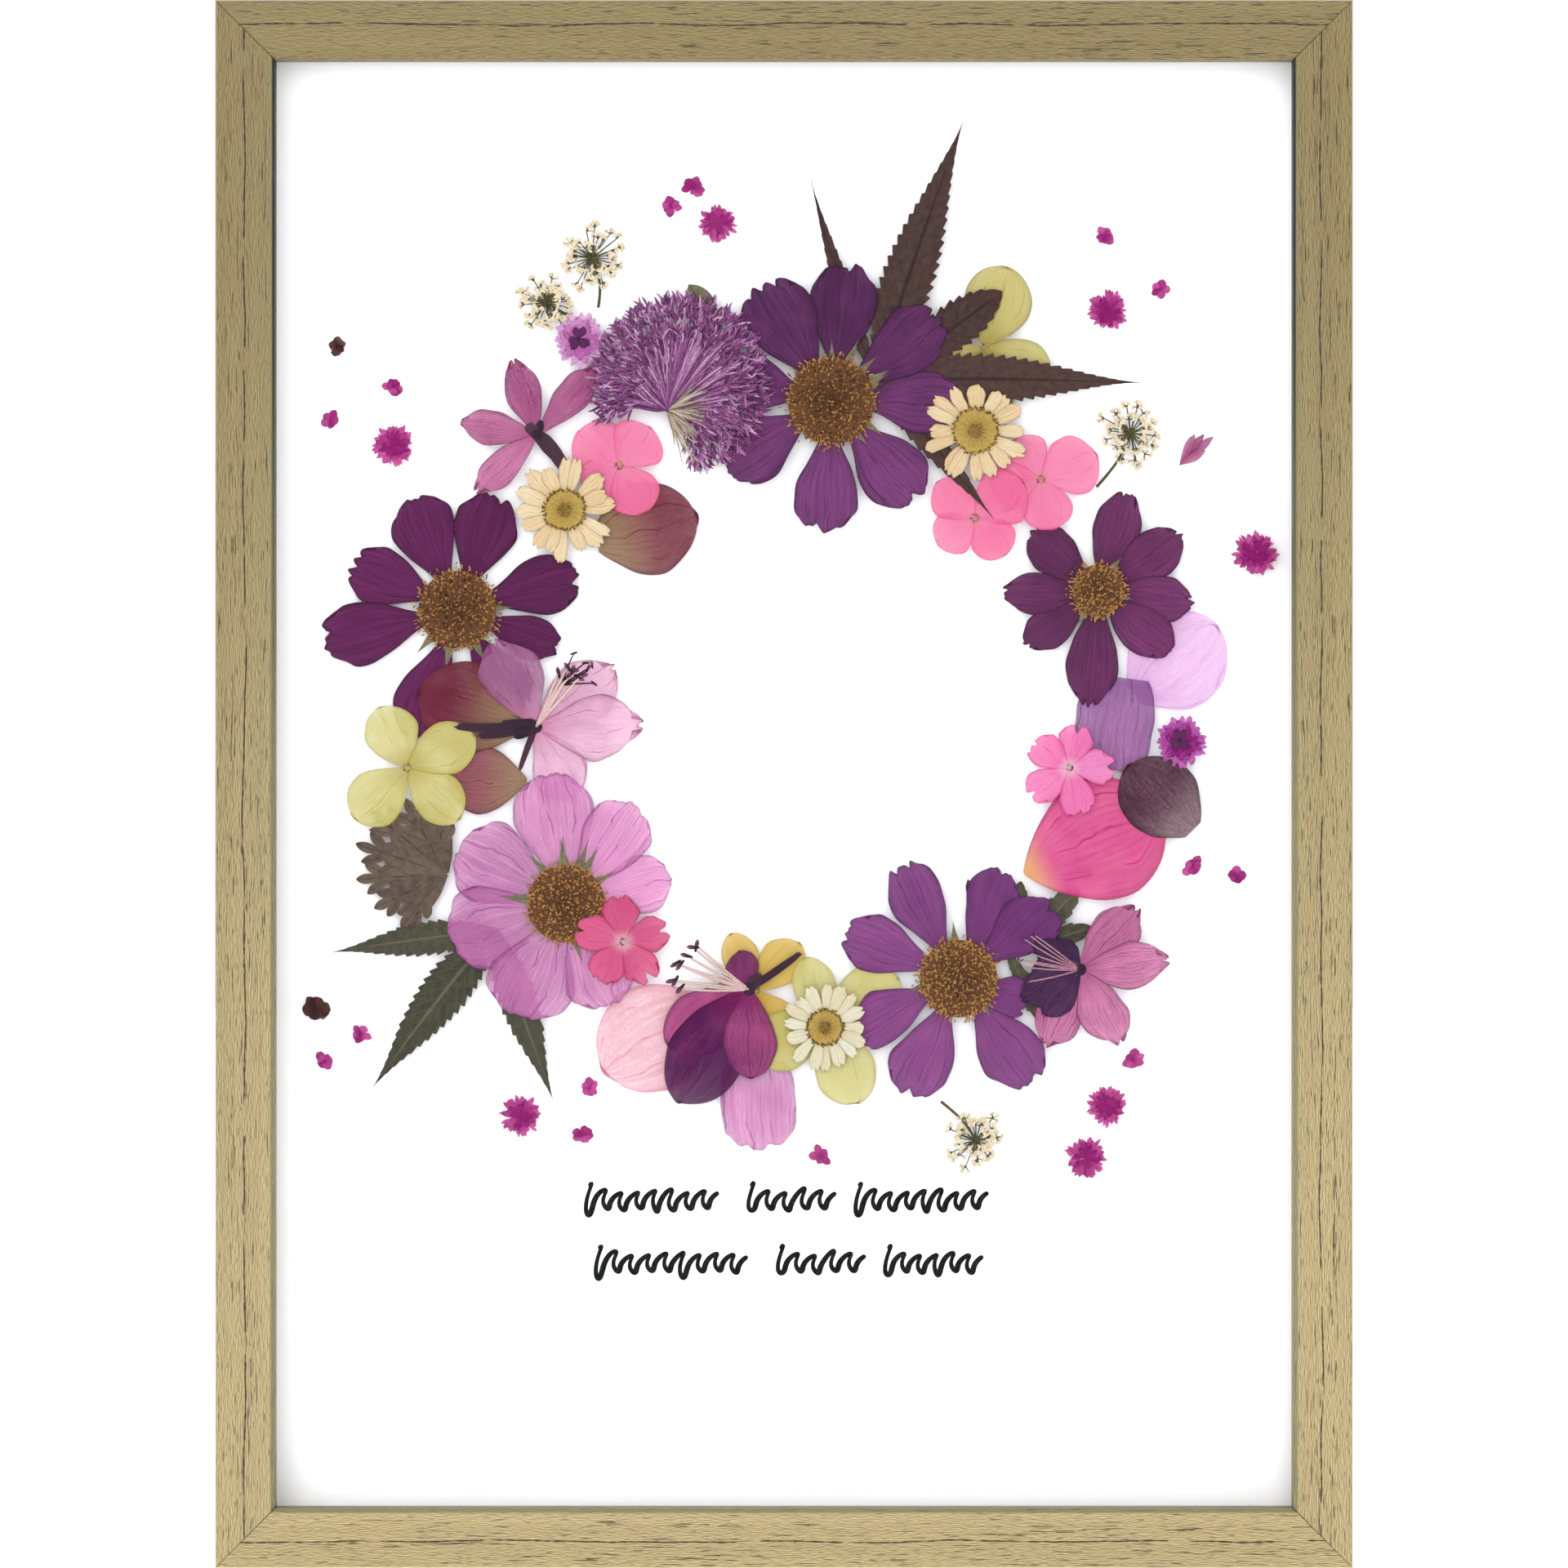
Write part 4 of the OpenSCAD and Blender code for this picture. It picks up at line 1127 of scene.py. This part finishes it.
def dress_fittings():
    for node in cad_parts:
        if node.startswith("turn_button_") and node != "turn_button_screws":
            dress(node, MATERIALS["steel"], 0.12)
    for node in ("hanger_straps", "turn_button_screws", "hanger_screws", "corner_v_nails"):
        dress(node, MATERIALS["steel"], 0.06)
    for node in ("hanger_ring_left", "hanger_ring_right"):
        dress(node, MATERIALS["steel"])


# ---- Studio ---------------------------------------------------------------------


def area_light(name, place, size, power):
    """A disk light that faces the middle of the frame."""
    data = bpy.data.lights.new(name, "AREA")
    data.shape = "DISK"
    data.size = size
    data.energy = power
    lamp = add_object(name, data)
    lamp.location = place
    lamp.rotation_euler = (Vector((0, 0, MID_Z)) - Vector(place)).to_track_quat("-Z", "Y").to_euler()
    return lamp


def world_light():
    """White for the camera; for everything else a soft room, brighter above."""
    world = bpy.data.worlds.new("studio")
    bpy.context.scene.world = world
    g = Graph("studio", world)
    _, _, up = g.split(g.value("TexCoord", output="Generated"))
    strength = g.value("MapRange", {0: up, 1: -0.4, 2: 0.9, 3: 0.42, 4: 0.68})
    room = g.value("Background", {"Color": WHITE, "Strength": strength})
    backdrop = g.value("Background", {"Color": WHITE})
    by_camera = g.value("LightPath", output="Is Camera Ray")
    g.finish(g.value("MixShader", {0: by_camera, 1: room, 2: backdrop}), "OutputWorld")


def floor():
    """A plain pale floor just under the frame."""
    half = 3.0
    level = OUTER_LOW.z - 0.3 * MM
    mesh = bpy.data.meshes.new("floor")
    corners = [(-half, -half, level), (half, -half, level), (half, half, level), (-half, half, level)]
    mesh.from_pydata(corners, [], [(0, 1, 2, 3)])
    g = Graph("pale_floor")
    glow = g.value("Emission", {"Color": WHITE, "Strength": 0.75})
    matt = g.value("BsdfDiffuse", {"Color": (0.9, 0.9, 0.9, 1)})
    mesh.materials.append(g.finish(g.value("AddShader", {0: glow, 1: matt})))
    add_object("floor", mesh)


def camera():
    """Square on to the frame, which fills the picture's height."""
    distance = 1.2
    data = bpy.data.cameras.new("camera")
    data.sensor_width = 36
    data.lens = data.sensor_width * distance / OUTER_H
    made = add_object("camera", data)
    made.location = (0, FRONT_Y - distance, MID_Z)
    made.rotation_euler = (math.pi / 2, 0, 0)
    bpy.context.scene.camera = made


def studio():
    scene = bpy.context.scene
    scene.view_settings.view_transform = "Standard"
    # a ray may cross many thin petals
    scene.cycles.transparent_max_bounces = 48
    world_light()
    front = area_light("front", (-0.12, -1.7, MID_Z + 0.16), 1.8, 26)
    front.visible_glossy = False
    area_light("key", (-0.9, -1.2, 1.2), 0.8, 6)
    area_light("rear", (0.6, 1.4, 1.0), 1.0, 12)
    floor()
    camera()


# ---- The whole picture -----------------------------------------------------------

# Dark, light, base and vein colours as they look on the display, then what differs from the usual tissue
TISSUES = {
    "deep_violet": ((84, 38, 82), (128, 64, 124), (78, 34, 72), (46, 16, 48), dict(
        line_share=0.4, clear=0.015, soft=1.5)),
    "dark_sepal": ((70, 40, 78), (104, 62, 104), (62, 34, 66), (40, 20, 44), dict(
        lines=12, line_share=0.4, clear=0.02, soft=1.3)),
    "deep_plum": ((92, 30, 80), (110, 38, 94), (82, 28, 68), (50, 12, 44), dict(
        line_share=0.4, clear=0.015, soft=1.5)),
    "plum": ((96, 42, 84), (124, 58, 110), (86, 40, 72), (50, 14, 42), dict(
        line_share=0.4, clear=0.02, soft=1.4)),
    "violet": ((118, 58, 120), (156, 84, 150), (104, 52, 100), (74, 30, 76), dict(
        line_share=0.3, clear=0.03, soft=1.0)),
    "lilac": ((206, 142, 188), (242, 170, 217), (216, 176, 204), (142, 84, 138), dict(
        lines=16, line_share=0.24, clear=0.26, soft=1.0)),
    "lilac_pink": ((186, 136, 170), (254, 206, 230), (228, 160, 192), (150, 82, 126), dict(
        lines=14, line_share=0.22, net=0.12, clear=0.25, soft=0.7)),
    "lilac_grey": ((166, 112, 168), (190, 136, 186), (158, 112, 166), (112, 66, 128), dict(
        lines=10, line_share=0.2, clear=0.2, soft=0.7)),
    "pale_lilac": ((232, 184, 230), (243, 204, 240), (228, 182, 228), (214, 166, 218), dict(
        lines=12, line_share=0.08, clear=0.4, soft=0.35)),
    "pale_pink": ((246, 198, 208), (253, 220, 226), (240, 188, 196), (226, 150, 170), dict(
        lines=12, line_share=0.25, net=0.25, clear=0.35)),
    "mauve_pink": ((172, 82, 136), (228, 142, 188), (198, 110, 158), (92, 24, 66), dict(
        lines=13, line_share=0.65, net=0.16, clear=0.12, soft=1.3)),
    "purple_pink": ((100, 42, 96), (196, 96, 150), (140, 54, 106), (84, 24, 74), dict(lines=10)),
    "candy_pink": ((253, 130, 174), (255, 150, 190), (254, 150, 186), (236, 96, 146), dict(
        lines=7, line_share=0.08, clear=0.15, soft=0.3)),
    "verbena": ((206, 74, 124), (236, 112, 158), (252, 210, 218), (168, 30, 80), dict(
        lines=8, line_share=0.2, soft=0.6, base_reach=0.3)),
    "verbena_pale": ((254, 128, 190), (255, 164, 218), (254, 222, 232), (206, 48, 116), dict(
        lines=8, line_share=0.15, clear=0.12, soft=0.5, base_reach=0.3)),
    "rose": ((226, 80, 148), (252, 136, 180), (250, 196, 112), (176, 36, 98), dict(
        lines=16, line_share=0.3, clear=0.08, soft=1.1, base_reach=0.24)),
    "magenta": ((162, 34, 122), (238, 104, 186), (156, 34, 116), (130, 26, 98), dict(lines=5, clear=0.04)),
    "magenta_lilac": ((158, 48, 134), (222, 116, 208), (150, 44, 122), (150, 50, 130), dict(
        lines=5, clear=0.08)),
    "pale_magenta": ((206, 118, 190), (244, 190, 236), (186, 96, 170), (190, 100, 176), dict(
        lines=5, clear=0.12)),
    "mauve": ((92, 58, 76), (136, 98, 112), (168, 142, 148), (58, 30, 46), dict(
        lines=14, line_share=0.55, net=0.35, clear=0.07, soft=1.6, base_reach=0.6)),
    "burgundy": ((116, 40, 64), (160, 96, 106), (176, 150, 112), (92, 28, 48), dict(
        lines=16, net=0.12, clear=0.06, soft=0.8, base_reach=0.72)),
    "straw": ((220, 210, 136), (235, 229, 168), (200, 186, 108), (180, 166, 90), dict(
        lines=11, line_share=0.25, net=0.1, clear=0.2, soft=0.5)),
    "straw_gold": ((226, 192, 98), (242, 216, 128), (214, 172, 84), (190, 148, 64), dict(
        lines=11, line_share=0.25, net=0.1, clear=0.18, soft=0.5)),
    "olive": ((206, 194, 116), (226, 214, 146), (176, 160, 86), (152, 134, 72), dict(
        lines=11, line_share=0.25, net=0.1, clear=0.12, soft=0.5)),
    "cream": ((246, 216, 168), (254, 234, 194), (226, 188, 130), (138, 96, 56), dict(
        lines=5, clear=0.04, soft=0.5)),
    "white_cream": ((244, 234, 196), (252, 248, 226), (232, 220, 166), (140, 118, 74), dict(
        lines=5, clear=0.04, soft=0.5)),
    "dry_brown": ((66, 36, 40), (126, 82, 66), (56, 30, 32), (44, 24, 24), dict(lines=5, clear=0.04)),
}
# Dark, light and vein colours, and for one the colour of the tips
LEAVES = {
    "maroon_leaf": ((48, 30, 30), (92, 68, 60), (36, 20, 24), (84, 42, 46)),
    "green_leaf": ((48, 46, 36), (94, 92, 72), (112, 106, 84), (84, 62, 52)),
    "grey_leaf": ((78, 64, 56), (126, 108, 92), (60, 48, 44)),
    "bract": ((96, 96, 72), (150, 146, 116), (80, 76, 56)),
}
GRAINS = {
    "calyx": ((34, 14, 34), (58, 28, 50), (84, 52, 70), 0.55),
    "seed_gold": ((52, 29, 17), (124, 80, 48), (200, 148, 82)),
    "daisy_gold": ((70, 52, 24), (172, 140, 68), (216, 190, 106)),
    "lilac_thread": ((88, 40, 84), (156, 88, 148), (220, 180, 212)),
    "pale_fibre": ((108, 78, 88), (176, 156, 136), (226, 218, 196)),
    "pale_stamen": ((42, 22, 34), (176, 112, 140), (238, 208, 200)),
    "stem": ((56, 54, 30), (98, 92, 56), (160, 140, 90)),
    "cream_floret": ((206, 186, 140), (240, 226, 186), (248, 228, 206)),
}
MATERIALS = {
    "glass": glass_material(),
    "card": card_material(),
    "board": board_material(),
    "steel": steel_material(),
    "rubber": rubber_material(),
    "ink": ink_material(),
}
for name, (*colours, settings) in TISSUES.items():
    MATERIALS[name] = tissue_material(name, *colours, **settings)
for name, looks in LEAVES.items():
    MATERIALS[name] = leaf_material(name, *looks)
for name, looks in GRAINS.items():
    MATERIALS[name] = grain_material(name, *looks)

dress_frame()
dress_fittings()
all_cosmos()
daisy("daisy_top", 0.45, "cream", 25)
daisy("daisy_left", 0.42, "cream", 27)
daisy("daisy_bottom", 0.42, "white_cream", 29)
verbena("verbena_left", 18, "verbena", 44)
verbena("verbena_right", 0, "verbena_pale", 46)
all_hydrangeas()
all_sprays()
all_leaves()
thread_flower()
pompons()
scattered_florets()
lace_umbels()
loose_petals()
pen_flourishes()
studio()
